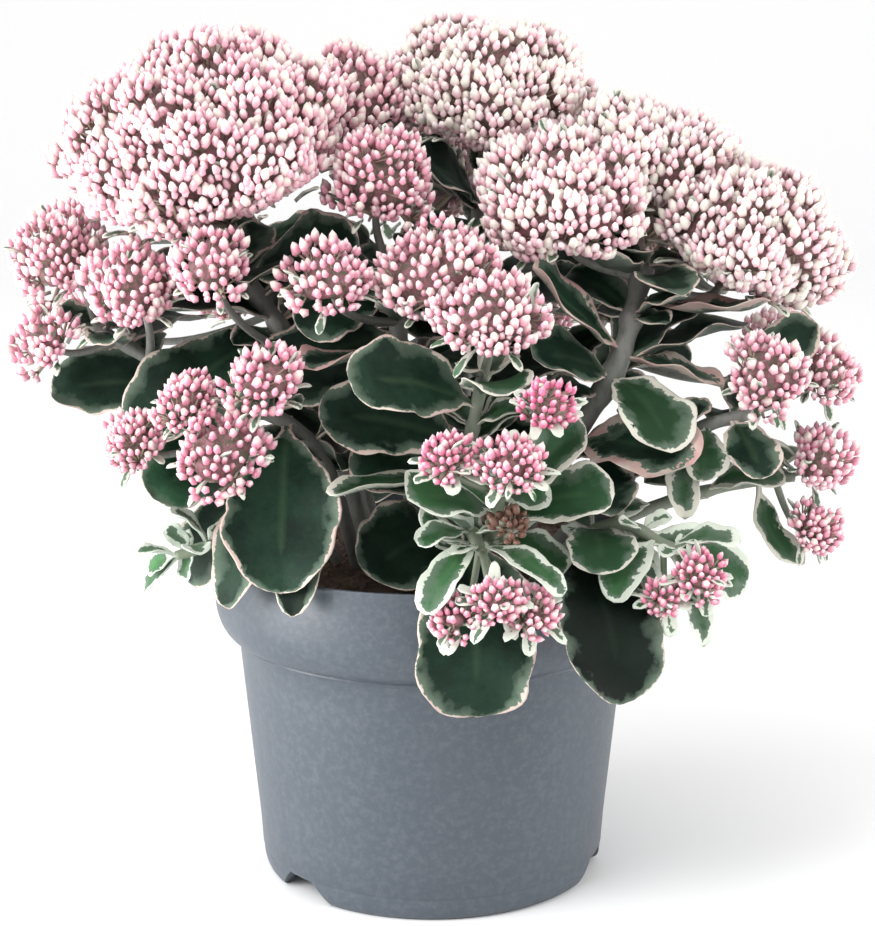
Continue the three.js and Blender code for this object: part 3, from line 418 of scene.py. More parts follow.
# Each flower head: its shoot, how far up it the branch leaves, its centre, the way it faces, its
# radius across, its height above the centre, the bunches it bulges into, and how deep its pink is.
headRows = {
    "headLeft": ("leftTall", 1, [-92, -12, 309], [-0.2, -0.35, 0.9], 68, 52, 16, 0.40),
    "headLeftBack": ("back", 0.75, [-36, 40, 326], [0.1, -0.2, 0.95], 33, 32, 5, 0.45),
    "headMiddle": ("middle", 1, [-22, -24, 298], [0.1, -0.4, 0.9], 25, 30, 5, 0.60),
    "headMiddleLow": ("middle", 0.8, [2, -52, 264], [0, -0.55, 0.83], 27, 22, 5, 0.50),
    "headInnerLeft": ("middle", 0.7, [-40, -64, 266], [-0.1, -0.7, 0.7], 19, 13, 3, 0.60),
    "headBack": ("back", 1, [24, 45, 334], [0.05, -0.3, 0.95], 52, 36, 9, 0.12),
    "headRightInner": ("rightTall", 0.97, [54, -22, 292], [-0.2, -0.45, 0.88], 40, 30, 7, 0.25),
    "headRight": ("rightTall", 0.97, [130, -6, 274], [0.36, -0.3, 0.88], 47, 38, 9, 0.15),
    "headRightTop": ("rightTall", 1, [92, 14, 304], [0.1, -0.15, 0.98], 48, 32, 7, 0.10),
    "headFront": ("front", 1, [24, -78, 252], [0, -0.7, 0.7], 23, 16, 4, 0.50),
    "headFarLeft": ("farLeft", 1, [-154, -12, 268], [-0.5, -0.35, 0.8], 24, 24, 4, 0.50),
    "headFarLeftLow": ("farLeft", 0.9, [-160, -26, 236], [-0.6, -0.6, 0.5], 16, 13, 2, 0.60),
    "headFarLeftInner": ("farLeft", 0.75, [-120, -42, 258], [-0.2, -0.6, 0.75], 22, 20, 4, 0.60),
    "headLeftUnder": ("leftTall", 0.55, [-86, -62, 270], [-0.1, -0.6, 0.78], 18, 16, 3, 0.60),
    "headLowLeftTop": ("lowLeft", 0.75, [-64, -82, 228], [0.1, -0.7, 0.7], 17, 13, 3, 0.70),
    "headLowLeftUpper": ("lowLeft", 0.9, [-96, -78, 220], [-0.1, -0.7, 0.7], 14, 11, 2, 0.70),
    "headLowLeftFront": ("lowLeft", 1, [-82, -86, 201], [0, -0.8, 0.6], 20, 13, 3, 0.70),
    "headLowLeftOuter": ("lowLeft", 0.8, [-119, -64, 201], [-0.5, -0.6, 0.6], 14, 12, 2, 0.65),
    "headFarRight": ("farRight", 1, [136, -52, 226], [0.1, -0.8, 0.6], 20, 14, 3, 0.55),
    "headFarRightOuter": ("farRight", 0.9, [164, -24, 222], [0.5, -0.6, 0.6], 17, 13, 2, 0.50),
    "headLowRight": ("lowRight", 0.96, [161, -34, 187], [0.6, -0.6, 0.5], 18, 14, 3, 0.60),
    "headLowRightUnder": ("lowRight", 0.92, [160, -40, 160], [0.5, -0.7, 0.3], 13, 10, 2, 0.65),
    "headFrontLeft": ("frontSmall", 0.9, [6, -114, 204], [-0.2, -0.7, 0.7], 11, 9, 2, 0.85),
    "headFrontMid": ("frontSmall", 1, [30, -118, 203], [0, -0.7, 0.7], 13, 10, 2, 0.75),
    "headFrontRight": ("frontSmall", 0.9, [44, -106, 223], [0.2, -0.6, 0.8], 10, 10, 1, 1.00),
    "headFaded": ("frontSmall", 0.5, [31, -104, 177], [0, -0.8, 0.6], 7, 6, 1, 0.50),
    "headRimLeft": ("rim", 0.9, [9, -121, 144], [-0.3, -0.8, 0.5], 9, 7, 1, 0.75),
    "headRimMid": ("rim", 1, [24, -124, 152], [0, -0.8, 0.6], 9, 8, 1, 0.75),
    "headRimRight": ("rim", 0.9, [39, -119, 146], [0.3, -0.8, 0.5], 9, 7, 1, 0.70),
    "headSide": ("rimRight", 1, [105, -96, 154], [0.2, -0.8, 0.6], 10, 9, 1, 0.85),
    "headSideSmall": ("rimRight", 0.9, [90, -98, 146], [-0.2, -0.8, 0.5], 7, 6, 1, 0.85),
    "headBackLeft": ("backLeft", 1, [-100, 80, 300], [-0.3, 0.35, 0.88], 48, 34, 9, 0.35),
    "headBackMid": ("backMid", 1, [-8, 118, 292], [-0.05, 0.4, 0.9], 46, 32, 8, 0.25),
    "headBackRight": ("backRight", 1, [102, 98, 282], [0.3, 0.35, 0.88], 46, 32, 8, 0.20),
    "headBackSideLeft": ("backLeft", 0.6, [-150, 52, 240], [-0.7, 0.2, 0.7], 20, 15, 3, 0.60),
    "headBackLowLeft": ("backLeft", 0.5, [-98, 124, 236], [-0.3, 0.6, 0.7], 20, 15, 3, 0.60),
    "headBackLow": ("backLow", 1, [48, 148, 224], [0.2, 0.6, 0.75], 24, 17, 4, 0.50),
    "headBackSideRight": ("backRight", 0.55, [158, 56, 222], [0.7, 0.3, 0.7], 20, 15, 3, 0.50),
    "headBackInner": ("backMid", 0.5, [-44, 142, 220], [-0.2, 0.7, 0.7], 18, 14, 3, 0.60),
}

# How a leaf lies: its droop along the blade, and how far its face tips towards the front, in degrees.
lies = {
    "flat": (15, 0), "scooped": (-40, 0), "rising": (-15, 40), "tipped": (25, 45), "facing": (30, 60),
    "arched": (50, 15), "hanging": (85, 5), "curled": (-80, 0),
}

# The leaves that show best, each as it grows: its shoot, how far up, its heading in degrees (0 is
# right, 90 the back), its slope above level, its length, its width, its lie and its look.
setLeaves = [
    # The two leaves of the dark look hang low in shadow, and their dark blades are painted shade.
    ("lowLeft", 0.2, -105, -30, 70, 22, "hanging", "dark"),
    ("lowLeft", 0.55, -90, -60, 70, 44, "arched", "old"),
    ("rimRight", 0.3, -75, -30, 80, 40, "hanging", "dark"),
    ("rim", 0.5, -90, -45, 75, 48, "hanging", "old"),
    ("leftTall", 0.65, -150, -15, 80, 40, "tipped", "old"),
    ("farLeft", 0.6, -165, 0, 60, 35, "tipped", "old"),
    ("leftTall", 0.95, -30, 15, 60, 35, "facing", "old"),
    ("middle", 0.85, -150, 0, 60, 36, "facing", "old"),
    ("middle", 0.65, -150, -15, 65, 40, "facing", "old"),
    ("middle", 0.55, -135, 0, 60, 30, "flat", "rosy"),
    ("front", 0.85, -150, 15, 60, 36, "facing", "old"),
    ("front", 0.6, -165, 15, 65, 34, "facing", "old"),
    ("front", 0.4, -150, 15, 55, 32, "tipped", "old"),
    ("front", 0.45, -135, 0, 75, 22, "flat", "edged"),
    ("front", 0.25, -135, -15, 60, 44, "facing", "old"),
    ("lowLeft", 0.3, -150, -45, 70, 28, "hanging", "old"),
    ("farLeft", 0.3, -135, -45, 60, 28, "hanging", "old"),
    ("farLeft", 0.4, -135, -15, 55, 35, "facing", "grey"),
    ("rightTall", 0.7, -150, 45, 65, 40, "rising", "rosy"),
    ("rightTall", 0.9, -15, 0, 55, 30, "scooped", "rosy"),
    ("rightTall", 0.65, 15, 15, 60, 32, "flat", "old"),
    ("rightTall", 0.68, -15, 0, 45, 28, "flat", "rosy"),
    ("rightTall", 0.6, -135, 15, 50, 30, "facing", "old"),
    ("rightTall", 0.6, -60, -30, 50, 32, "arched", "edged"),
    ("rightTall", 0.35, -45, 0, 65, 38, "tipped", "rosy"),
    ("rightTall", 0.95, 30, -15, 50, 28, "tipped", "old"),
    ("rightTall", 1, -135, 30, 40, 28, "scooped", "old"),
    ("back", 0.88, -135, 30, 50, 38, "facing", "old"),
    ("farRight", 1, 30, 45, 50, 24, "tipped", "old"),
    ("farRight", 0.6, -90, -45, 40, 14, "arched", "edged"),
    ("farRight", 0.75, -105, -30, 30, 20, "tipped", "edged"),
    ("farRight", 0.9, -60, -45, 28, 22, "tipped", "old"),
    ("lowRight", 0.85, -45, -45, 40, 20, "curled", "edged"),
    ("frontSmall", 0.7, -15, 15, 50, 28, "tipped", "edged"),
    ("frontSmall", 0.85, 0, 45, 45, 28, "rising", "edged"),
    ("frontSmall", 0.75, -135, 15, 50, 28, "tipped", "fresh"),
    ("frontSmall", 0.85, -30, -15, 30, 18, "tipped", "fresh"),
    ("frontSmall", 0.5, -45, -15, 40, 24, "arched", "fresh"),
    ("rimRight", 0.45, -90, -15, 35, 28, "arched", "edged"),
    ("rimRight", 0.6, -75, -60, 55, 24, "hanging", "fresh"),
    ("rimRight", 0.75, -15, -30, 50, 28, "tipped", "fresh"),
    ("rimRight", 0.85, -120, -45, 35, 18, "arched", "fresh"),
    ("rimRight", 0.95, -45, -60, 40, 12, "arched", "fresh"),
    ("rim", 0.42, -120, 15, 30, 24, "tipped", "fresh"),
    ("rim", 0.7, -105, 45, 30, 14, "flat", "fresh"),
    ("rim", 0.85, -120, -30, 45, 16, "arched", "fresh"),
    ("rim", 0.9, -120, 0, 22, 9, "flat", "fresh"),
    ("rim", 0.9, -45, -15, 45, 14, "arched", "fresh"),
    ("sprout", 0.9, 180, 45, 14, 10, "tipped", "bright"),
    ("sprout", 1, 165, -30, 15, 12, "tipped", "bright"),
    ("sprout", 0.95, -165, -45, 25, 10, "tipped", "bright"),
    ("sprout", 0.85, -120, -60, 15, 11, "arched", "bright"),
]

# Leaves set by rule: pairs up each shoot, each pair turned a quarter round from the last.
# Each row: pairs, from and to along the shoot, first turn, length and width.
pairRule = {
    "leftTall": (4, 0.22, 0.9, 20, 58, 38), "farLeft": (3, 0.3, 0.85, 60, 42, 28),
    "lowLeft": (2, 0.4, 0.8, 0, 36, 24), "middle": (3, 0.2, 0.8, 45, 50, 34),
    "back": (4, 0.25, 0.9, 70, 58, 38), "rightTall": (3, 0.25, 0.95, 110, 56, 36),
    "farRight": (3, 0.3, 0.9, 30, 40, 26), "lowRight": (3, 0.35, 0.9, 75, 34, 22),
    "front": (2, 0.6, 0.92, 15, 36, 24), "frontSmall": (3, 0.5, 0.95, 50, 30, 19),
    "rim": (2, 0.7, 0.95, 20, 24, 14), "rimRight": (2, 0.6, 0.95, 65, 26, 16),
    "sprout": (3, 0.75, 1, 30, 20, 10), "backLeft": (5, 0.15, 0.95, 0, 58, 38),
    "backMid": (5, 0.15, 0.95, 40, 56, 38), "backRight": (4, 0.15, 0.95, 85, 56, 38),
    "backLow": (4, 0.2, 0.92, 25, 46, 30),
}
pair = {"slope": 9, "droop": 50, "face": 15, "quarter": 90, "variety": 0.12, "varietyStep": 7}

# Smaller leaves that fill in between the pairs, in rounds: their size, their turn and their lowest start.
between = {
    "rounds": [(0.62, 45, 0.15), (0.55, 15, 0.1)], "slope": 22, "droop": 40, "face": 30, "more": 1,
    "variety": (0.8, 1.2),
}

growth = {
    "sunk": 12, "gap": 0.35, "petiole": 0.1, "petioleWidth": 0.05, "petioleUpTo": 0.5, "footFull": 0.75,
    "tipFull": 0.5, "peak": 0.4312, "cup": 0.25,
    "branchBase": 1.2, "branchShare": 0.035, "branchTaper": 0.25, "branchBend": 0.35,
}
dome = {
    "depth": 0.42, "core": 0.82, "size": 1.2, "lowest": 0.12, "under": -0.35, "underFlat": 0.8,
    "touching": 1.15, "bud": 4.6, "smallBud": 0.3, "budsFrom": -0.3,
}
# The room that a blade keeps to other blades, stems, heads, the pot and the soil.
room = {
    "blade": 3.7, "ownShare": 0.7, "ownFoot": 16, "otherFoot": 11, "stem": 1.4, "branch": 4, "ownStem": 1,
    "dome": 1.2, "budShare": 0.6, "near": 12, "soil": 3.5, "soilEdge": 4, "rimAbove": 3, "rimAcross": 5,
    "rimMiddle": 1, "wall": 3, "along": 14, "across": 9, "first": 0.08, "skip": 3, "stemBalls": 40,
    "branchBalls": 12, "shortening": 70,
}
up = np.array([0, 0, 1.0])


def pathAt(name, t):
    path = shoots[name][0]
    p = np.array([path[0] + [soil["top"] - growth["sunk"]]] + path[1:], float)
    p = np.concatenate([[2 * p[0] - p[1]], p, [2 * p[-1] - p[-2]]])
    at = np.clip(np.atleast_1d(t), 0, 1) * (len(p) - 3)
    i = np.minimum(at.astype(int), len(p) - 4)
    u = (at - i)[:, None]
    a, b, c, d = p[i], p[i + 1], p[i + 2], p[i + 3]
    bend, twist = 2 * a - 5 * b + 4 * c - d, 3 * b - a - 3 * c + d
    return 0.5 * (2 * b + (c - a) * u + bend * u ** 2 + twist * u ** 3)


def readyHead(name, row):
    on, at, centre, facing, r, h, count, pink = row
    n = unit(facing)
    a = unit(np.cross(n, (0, 1, 0.01)))
    head = {"name": name, "on": on, "at": at, "c": np.array(centre, float), "n": n, "r": r, "h": h,
            "pink": pink, "axes": np.array([a, np.cross(n, a), n]), "stretch": np.array([r, r, h], float),
            "balls": []}
    radius = min(1, dome["size"] / math.sqrt(count))
    goldenAngle = math.pi * (3 - math.sqrt(5))
    for k in range(count):
        z = 1 if count == 1 else dome["lowest"] + (1 - dome["lowest"]) * (k + 0.5) / count
        flat, turn = math.sqrt(1 - z * z), k * goldenAngle + r
        centre = np.array([math.cos(turn) * flat, math.sin(turn) * flat, z]) * (1 - radius)
        head["balls"].append((centre, radius))
    return head


# Where two heads press together, each stops short of a plane between them.
def addWalls(head, others):
    head["walls"] = []
    for other in others:
        away = other["c"] - head["c"]
        distance = np.linalg.norm(away)
        if other is head or distance > (head["r"] + other["r"]) * dome["touching"]:
            continue
        at = distance * head["r"] / (head["r"] + other["r"]) - growth["gap"]
        head["walls"].append((head["axes"] @ (away / distance) * head["stretch"], at))


# How far a head reaches from its centre in each direction: the furthest bunch, or the core.
def headReach(head, d, extra=0.0):
    depth = head["r"] * dome["depth"] / head["h"]
    flat, down = np.hypot(d[:, 0], d[:, 1]), d[:, 2] < 0
    funnel = dome["core"] * depth / np.where(down, depth * flat - dome["core"] * d[:, 2], 1)
    reach = np.where(down, funnel, dome["core"])
    below = (d[:, 2] < dome["under"]) & (flat < dome["underFlat"])
    for centre, radius in head["balls"]:
        along = d @ centre
        inside = along ** 2 - centre @ centre + radius ** 2
        far = along + np.sqrt(np.maximum(inside, 0))
        reach = np.where((inside > 0) & ~below & (far > reach), far, reach)
    reach = reach + extra
    for normal, at in head["walls"]:
        towards = d @ normal
        reach = np.where(towards > 0, np.minimum(reach, at / np.where(towards > 0, towards, 1)), reach)
    return reach


def headPoint(head, local):
    return head["c"] + (local * head["stretch"]) @ head["axes"]


def branchAt(head, t):
    start = pathAt(head["on"], head["at"])[0]
    seat = head["c"] - head["n"] * (head["r"] * dome["depth"] + growth["gap"])
    bend = seat - head["n"] * growth["branchBend"] * np.linalg.norm(start - seat)
    t = np.atleast_1d(t)[:, None]
    return (1 - t) ** 2 * start + 2 * t * (1 - t) * bend + t ** 2 * seat


# A blade's middle surface: s runs from its foot to its tip, t from one edge to the other.
def blade(leaf, s, t, teeth=0.0):
    g = growth
    chord = leaf["tip"] - leaf["base"]
    flat = math.hypot(chord[0], chord[1])
    heading = np.array([chord[0] / flat, chord[1] / flat, 0])
    turn = math.radians(leaf["droop"])
    length = np.linalg.norm(chord) * (turn / 2) / math.sin(turn / 2)
    start = math.atan2(chord[2], flat) + turn / 2
    roll = -math.radians(leaf["face"]) * heading[0]
    across = np.cross(heading, up)
    e = (start - turn * s)[:, None]
    forward = length * (math.sin(start) - np.sin(e)) / turn
    rise = length * (np.cos(e) - math.cos(start)) / turn
    line = leaf["base"] + heading * forward + up * rise
    lift = up * np.cos(e) - heading * np.sin(e)
    side = across * math.cos(roll) + lift * math.sin(roll)
    normal = lift * math.cos(roll) - across * math.sin(roll)
    u = np.clip((s - g["petiole"]) / (1 - g["petiole"]), 0, 1)
    half = leaf["width"] / 2 * (u ** g["footFull"] * (1 - u) ** g["tipFull"]) / g["peak"]
    half = np.maximum(half, np.where(s < g["petioleUpTo"], leaf["width"] * g["petioleWidth"], 0))
    half = np.broadcast_to(half[:, None] * (1 + teeth), (len(s), len(t)))
    points = line[:, None] + side[:, None] * (half * t)[..., None]
    points = points + normal[:, None] * (g["cup"] * half * t ** 2)[..., None]
    return points, np.broadcast_to(normal[:, None], points.shape), half, length


sampleS = room["first"] + (1 - room["first"]) * np.arange(room["along"]) / (room["along"] - 1)
sampleT = 2 * np.arange(room["across"]) / (room["across"] - 1) - 1


# Balls along each stem and branch stand for them when a leaf looks for room.
def stemBalls():
    lines = [(name, pathAt, name, room["stemBalls"], row[1] + room["stem"]) for name, row in shoots.items()]
    lines += [(head["on"], branchAt, head, room["branchBalls"], room["branch"]) for head in allHeads]
    at, reach, on = [], [], []
    for shoot, lineAt, which, steps, wide in lines:
        at.append(lineAt(which, np.arange(steps + 1) / steps))
        reach += [wide] * (steps + 1)
        on += [shoot] * (steps + 1)
    return np.concatenate(at), np.array(reach, float), np.array(on)


def meetsPot(p):
    out, z = np.hypot(p[:, 0], p[:, 1]), p[:, 2]
    onSoil = (z < soil["top"] + room["soil"]) & (out < pot["rim"] - room["soilEdge"])
    fromRim = np.abs(out - pot["rim"] + room["rimMiddle"])
    onRim = (z < pot["height"] + room["rimAbove"]) & (fromRim < room["rimAcross"])
    inWall = (z < pot["height"]) & (out > pot["rim"] - room["soilEdge"]) & (out < pot["rim"] + room["wall"])
    return (onSoil | onRim | inWall).any()


def meetsHead(head, p, centre, span):
    if np.linalg.norm(head["c"] - centre) > head["r"] + room["near"] + span:
        return False
    d = p - head["c"]
    d = d[np.linalg.norm(d, axis=1) <= head["r"] + room["near"]]
    if not len(d):
        return False
    local = d @ head["axes"].T / head["stretch"]
    far = np.linalg.norm(local, axis=1)
    tall = min(dome["bud"], dome["smallBud"] * head["r"]) * room["budShare"]
    extra = (np.where(local[:, 2] > dome["budsFrom"] * far, tall, 0) + room["dome"]) / head["r"]
    return (far < headReach(head, local / far[:, None], extra)).any()


def meetsFixed(leaf, p, centre, span):
    if meetsPot(p) or any(meetsHead(head, p, centre, span) for head in allHeads):
        return True
    at, reach, on = balls
    near = np.linalg.norm(at - centre, axis=1) < span + reach
    own = on[near] == leaf["on"]
    fromFoot = np.linalg.norm(p - leaf["base"], axis=1)[:, None]
    distance = np.linalg.norm(p[:, None] - at[near][None], axis=2)
    foot = np.where(own, room["ownFoot"], room["otherFoot"])
    return ((fromFoot > foot) & (distance < reach[near] - own * room["ownStem"])).any()


# Blades of one shoot may start together, so their feet are left out, and they may lie closer.
def meetsBlades(leaf, p, centre, span, placed):
    for other in placed:
        if np.linalg.norm(centre - other["centre"]) > span + other["span"]:
            continue
        own = leaf["on"] == other["on"]
        skip = room["skip"] * room["across"] if own else 0
        a, b = p[skip:], other["samples"][skip:]
        limit = room["blade"] * (room["ownShare"] if own else 1)
        if (((a[:, None] - b[None]) ** 2).sum(2) < limit ** 2).any():
            return True
    return False


# A leaf is tried as set, then turned, raised, pushed and shortened a little, until it stands clear.
# One that never does is left out.
def settle(leaf, placed, moves):
    for turn, raised, push, scale in moves:
        heading, slope = math.radians(leaf["heading"] + turn), math.radians(leaf["slope"] + raised)
        level, rise = leaf["length"] * math.cos(slope), leaf["length"] * math.sin(slope)
        reach = np.array([level * math.cos(heading), level * math.sin(heading) + push, rise])
        trial = {**leaf, "tip": leaf["base"] + reach * scale, "width": leaf["width"] * scale}
        p = blade(trial, sampleS, sampleT)[0].reshape(-1, 3)
        centre = p.mean(0)
        span = np.linalg.norm(p - centre, axis=1).max() + room["blade"]
        if not meetsFixed(trial, p, centre, span) and not meetsBlades(trial, p, centre, span, placed):
            placed.append({**trial, "samples": p, "centre": centre, "span": span})
            return


# Every way to move a leaf, the smallest first: turned, raised, pushed to the back, and its share of size.
def movesOf(turns, raises, pushes=(0,)):
    moves = [(t, r, p, s) for s in (1, 0.9, 0.8) for t in turns for r in raises for p in pushes]
    return sorted(moves, key=lambda m: abs(m[0]) + abs(m[1]) + abs(m[2]) + room["shortening"] * (1 - m[3]))


def placeSetLeaves(placed):
    steps = (0, 5, -5, 10, -10, 15, -15)
    moves = movesOf(steps, steps, (0, 5, -5, 10, -10, 15))
    for on, at, heading, slope, length, width, lie, look in setLeaves:
        leaf = {"on": on, "base": pathAt(on, at)[0], "heading": heading, "slope": slope, "length": length,
                "width": width, "droop": lies[lie][0], "face": lies[lie][1], "look": look}
        settle(leaf, placed, moves)


# Two leaves face to face on a shoot, as the rule has them.
def placePair(placed, on, at, headings, sizes, rule, moves):
    for heading, (length, width) in zip(headings, sizes):
        leaf = {"on": on, "base": pathAt(on, at)[0], "heading": heading, "length": length, "width": width,
                "slope": rule["slope"], "droop": rule["droop"], "face": rule["face"],
                "look": looksOf.get(on, "old")}
        settle(leaf, placed, moves)


def placePairs(placed):
    moves = movesOf((0, 15, -15, 30, -30), (0, 12, -12, 24, 36))
    for on, (count, first, last, turn, length, width) in pairRule.items():
        for k in range(count):
            shares = [1 - pair["variety"] * math.sin(pair["varietyStep"] * k + half) for half in (0, 180)]
            heading = turn + pair["quarter"] * k
            placePair(placed, on, first + (last - first) * k / (count - 1), (heading, heading + 180),
                      [(length * share, width * share) for share in shares], pair, moves)


def placeBetween(placed):
    moves = movesOf((0, 20, -20), (0, 20, -20))
    for size, aside, start in between["rounds"]:
        for on, (count, first, last, turn, length, width) in pairRule.items():
            start = min(start, first)
            for k in range(count + between["more"]):
                shares = [size * random.uniform(*between["variety"]) for _ in range(2)]
                heading = turn + aside + pair["quarter"] * k
                placePair(placed, on, start + (last - start) * (k + 0.5) / count, (heading, heading + 180),
                          [(length * share, width * share) for share in shares], between, moves)


# How a leaf looks: how young, its pale margin in mm, how pink the margin is, and how light the blade. The
# low lightness of the dark look is painted shade, for leaves that hang in the shadow under the plant.
looks = {
    "old": (0.0, 1.2, 0.5, 0.8), "dark": (0.0, 0.6, 0.3, 0.35), "grey": (0.1, 1.2, 0.2, 1.9),
    "rosy": (0.0, 4.2, 1.0, 0.9), "edged": (0.45, 2.2, 0.1, 1.1), "fresh": (0.8, 2.6, 0.0, 1.2),
    "bright": (1.0, 2.2, 0.0, 1.6), "bract": (0.7, 0.9, 0.1, 1.5),
}
looksOf = {
    "sprout": "bright", "rim": "fresh", "rimRight": "fresh", "frontSmall": "fresh", "lowRight": "edged",
    "front": "edged",
}
print("placing leaves")
allHeads = [readyHead(name, row) for name, row in headRows.items()]
for head in allHeads:
    addWalls(head, allHeads)
balls = stemBalls()
leaves = []
placeSetLeaves(leaves)
placePairs(leaves)
print(len(leaves), "leaves placed")
placeBetween(leaves)
print(len(leaves), "with the smaller ones between them")

# Leaves and stems. The edge rows say how far across a blade its corners lie, from the edge to the middle.
foliage = {
    "thick": 0.9, "smallWidth": 18, "smallShare": 0.75, "largeWidth": 30,
    "rings": {"large": 24, "middling": 16, "small": 12, "bract": 8},
    "edge": (-1, -0.96, -0.88, -0.74, -0.52, -0.26, -0.08, 0), "bractEdge": (-1, -0.85, -0.45, 0),
    "smoothFoot": 0.14, "teeth": 4.3, "tooth": 0.095, "sways": 1.4, "sway": 0.07, "waves": 2.1,
    "wave": 0.055, "quilts": 2.6, "quilt": 0.02, "groove": 0.32, "grooveWidth": 0.1, "grooveEnd": 0.85,
    "marginVariety": (0.7, 1.3),
    "dark": (0.003, 0.014, 0.008), "mid": (0.014, 0.043, 0.023), "grey": (0.130, 0.180, 0.135),
    "young": (0.042, 0.125, 0.045), "cream": (0.62, 0.56, 0.48), "blush": (0.58, 0.36, 0.34),
    "white": (0.66, 0.74, 0.64), "under": (0.17, 0.20, 0.17), "rib": (0.075, 0.14, 0.068),
    "roughness": 0.46, "roughRange": 0.25, "specular": 0.19, "subsurface": 0.05,
    "radius": (0.001, 0.002, 0.0008),
}
stems = {
    "sides": 14, "steps": 46, "branchSides": 10, "branchSteps": 16, "knot": 0.1, "knotReach": 4,
    "thickest": 1.18, "green": (0.10, 0.15, 0.11), "purple": (0.115, 0.095, 0.105),
    "young": (0.20, 0.31, 0.15), "speck": (0.27, 0.26, 0.24), "roughness": 0.55,
}


def leafMaterial():
    f = foliage
    material, tree, shader = newMaterial("leaf")
    rim, tone, young = (mark(tree, name) for name in ("rim", "tone", "young"))
    margin, pink, light, rib = (mark(tree, name) for name in ("margin", "pink", "light", "rib"))
    # How far a point lies inside the pale margin, in mm, with the margin's inner edge ragged.
    wander = sums(tree, "SUBTRACT", noise(tree, 110, 4, 0.65), 0.5)
    ragged = times(tree, wander, sums(tree, "MULTIPLY_ADD", margin, 3.4, 3.0))
    fine = times(tree, sums(tree, "SUBTRACT", noise(tree, 600, 3), 0.5), 1.8)
    inner = sums(tree, "SUBTRACT", sums(tree, "ADD", sums(tree, "ADD", rim, ragged), fine), margin)
    # The green in patches, with the midrib, and how light this leaf is: its own lightness with a random
    # tone, and for the leaves of the dark look painted shade.
    patch = noise(tree, 38, 6, 0.7)
    green = mixColour(tree, fall(tree, patch, 0.36, 0.64), f["mid"], f["dark"])
    green = mixColour(tree, times(tree, young, 0.8), green, f["young"])
    green = mixColour(tree, times(tree, fall(tree, rib, 0.3, 2.4), 0.22), green, f["rib"])
    toneAndPaintedShade = times(tree, sums(tree, "MULTIPLY_ADD", tone, 0.7, 0.65), light)
    green = node(tree, "ShaderNodeHueSaturation", Color=green, Value=toneAndPaintedShade).outputs[0]
    # A grey zone of uneven width inside the margin.
    zone = sums(tree, "MULTIPLY_ADD", noise(tree, 75, 5, 0.65), 26.0, -8.8)
    cloudy = times(tree, fall(tree, inner, 0.0, sums(tree, "MAXIMUM", zone, 0.25)), 0.95)
    green = mixColour(tree, cloudy, green, f["grey"])
    # The margin itself, pink here and there.
    patchy = sums(tree, "SUBTRACT", 1.15, fall(tree, noise(tree, 70, 3), 0.4, 0.6))
    blushed = times(tree, times(tree, pink, patchy), 0.9, clamp=True)
    pale = mixColour(tree, blushed, mixColour(tree, young, f["cream"], f["white"]), f["blush"])
    skin = mixColour(tree, fall(tree, inner, -0.2, 0.2), green, pale)
    under = mixColour(tree, 0.5, skin, f["under"])
    dress(tree, shader, Base_Color=mixColour(tree, mark(tree, "top"), under, skin),
          Roughness=sums(tree, "MULTIPLY_ADD", patch, f["roughRange"], f["roughness"]),
          Specular_IOR_Level=f["specular"], Subsurface_Weight=f["subsurface"], Subsurface_Radius=f["radius"],
          Normal=bump(tree, noise(tree, 190, 6, 0.65), 0.45, 0.0009))
    return material


def stemMaterial():
    material, tree, shader = newMaterial("stem")
    colour = mixColour(tree, noise(tree, 30, 3), stems["purple"], stems["green"])
    fresh = mixColour(tree, times(tree, mark(tree, "young"), 0.8), colour, stems["young"])
    speck = times(tree, fall(tree, noise(tree, 420, 4, stretch=(1, 1, 0.3)), 0.75, 0.5), 0.5)
    skin = mixColour(tree, sums(tree, "SUBTRACT", 0.5, speck), fresh, stems["speck"])
    dress(tree, shader, Base_Color=skin, Roughness=stems["roughness"],
          Normal=bump(tree, noise(tree, 300, 3, stretch=(1, 1, 0.25)), 0.3, 0.0006))
    return material


# The numbers of a leaf's corners run over its upper face, then its lower one, then its tip. The lower
# face shares the edges of the upper one.
def onBothFaces(grid):
    return np.concatenate([grid.reshape(-1), grid[:, 1:-1].reshape(-1), [0.0]])


def gridQuads(grid):
    return np.stack([grid[:-1, :-1], grid[:-1, 1:], grid[1:, 1:], grid[1:, :-1]], -1).reshape(-1, 4)


def leafFaces(rings, across):
    top = np.arange(rings * across).reshape(rings, across)
    low = top.copy()
    low[:, 1:-1] = rings * across + np.arange(rings * (across - 2)).reshape(rings, across - 2)
    tip = np.full(across - 1, low[-1, -2] + 1)
    foot = np.concatenate([top[0], low[0, -2:0:-1]])
    tris = np.concatenate([np.stack([top[-1, :-1], top[-1, 1:], tip], 1),
                           np.stack([low[-1, 1:], low[-1, :-1], tip], 1),
                           [(foot[0], foot[i + 1], foot[i]) for i in range(1, len(foot) - 1)]])
    return np.concatenate([gridQuads(top), gridQuads(low[:, ::-1])]), tris


# The middle surface of a leaf, with an uneven outline, shallow teeth, waved edges and a quilted blade.
def leafSurface(leaf, s, t):
    f = foliage
    start = rng.uniform(0, 1, 4)
    side = (t > 0).astype(int)
    grown, at = np.clip((s - f["smoothFoot"]) * 6, 0, 1)[:, None], s[:, None]
    tooth = np.abs(np.sin(math.pi * (at * f["teeth"] + start[side]))) - 0.6
    sway = np.sin(2 * math.pi * (at * f["sways"] + start[2 + side]))
    points, normal, half, length = blade(leaf, s, t, (f["tooth"] * tooth + f["sway"] * sway) * grown)
    wave = np.cos(2 * math.pi * (at * f["waves"] + start[2 - side])) * f["wave"] * t ** 2 * np.sign(t)
    quilt = np.sin(2 * math.pi * (at * f["quilts"] + start[0])) * np.cos(3.5 * t + 6 * start[1])
    points = points + normal * ((wave + quilt * f["quilt"]) * grown * leaf["width"])[..., None]
    return points, normal, half, length


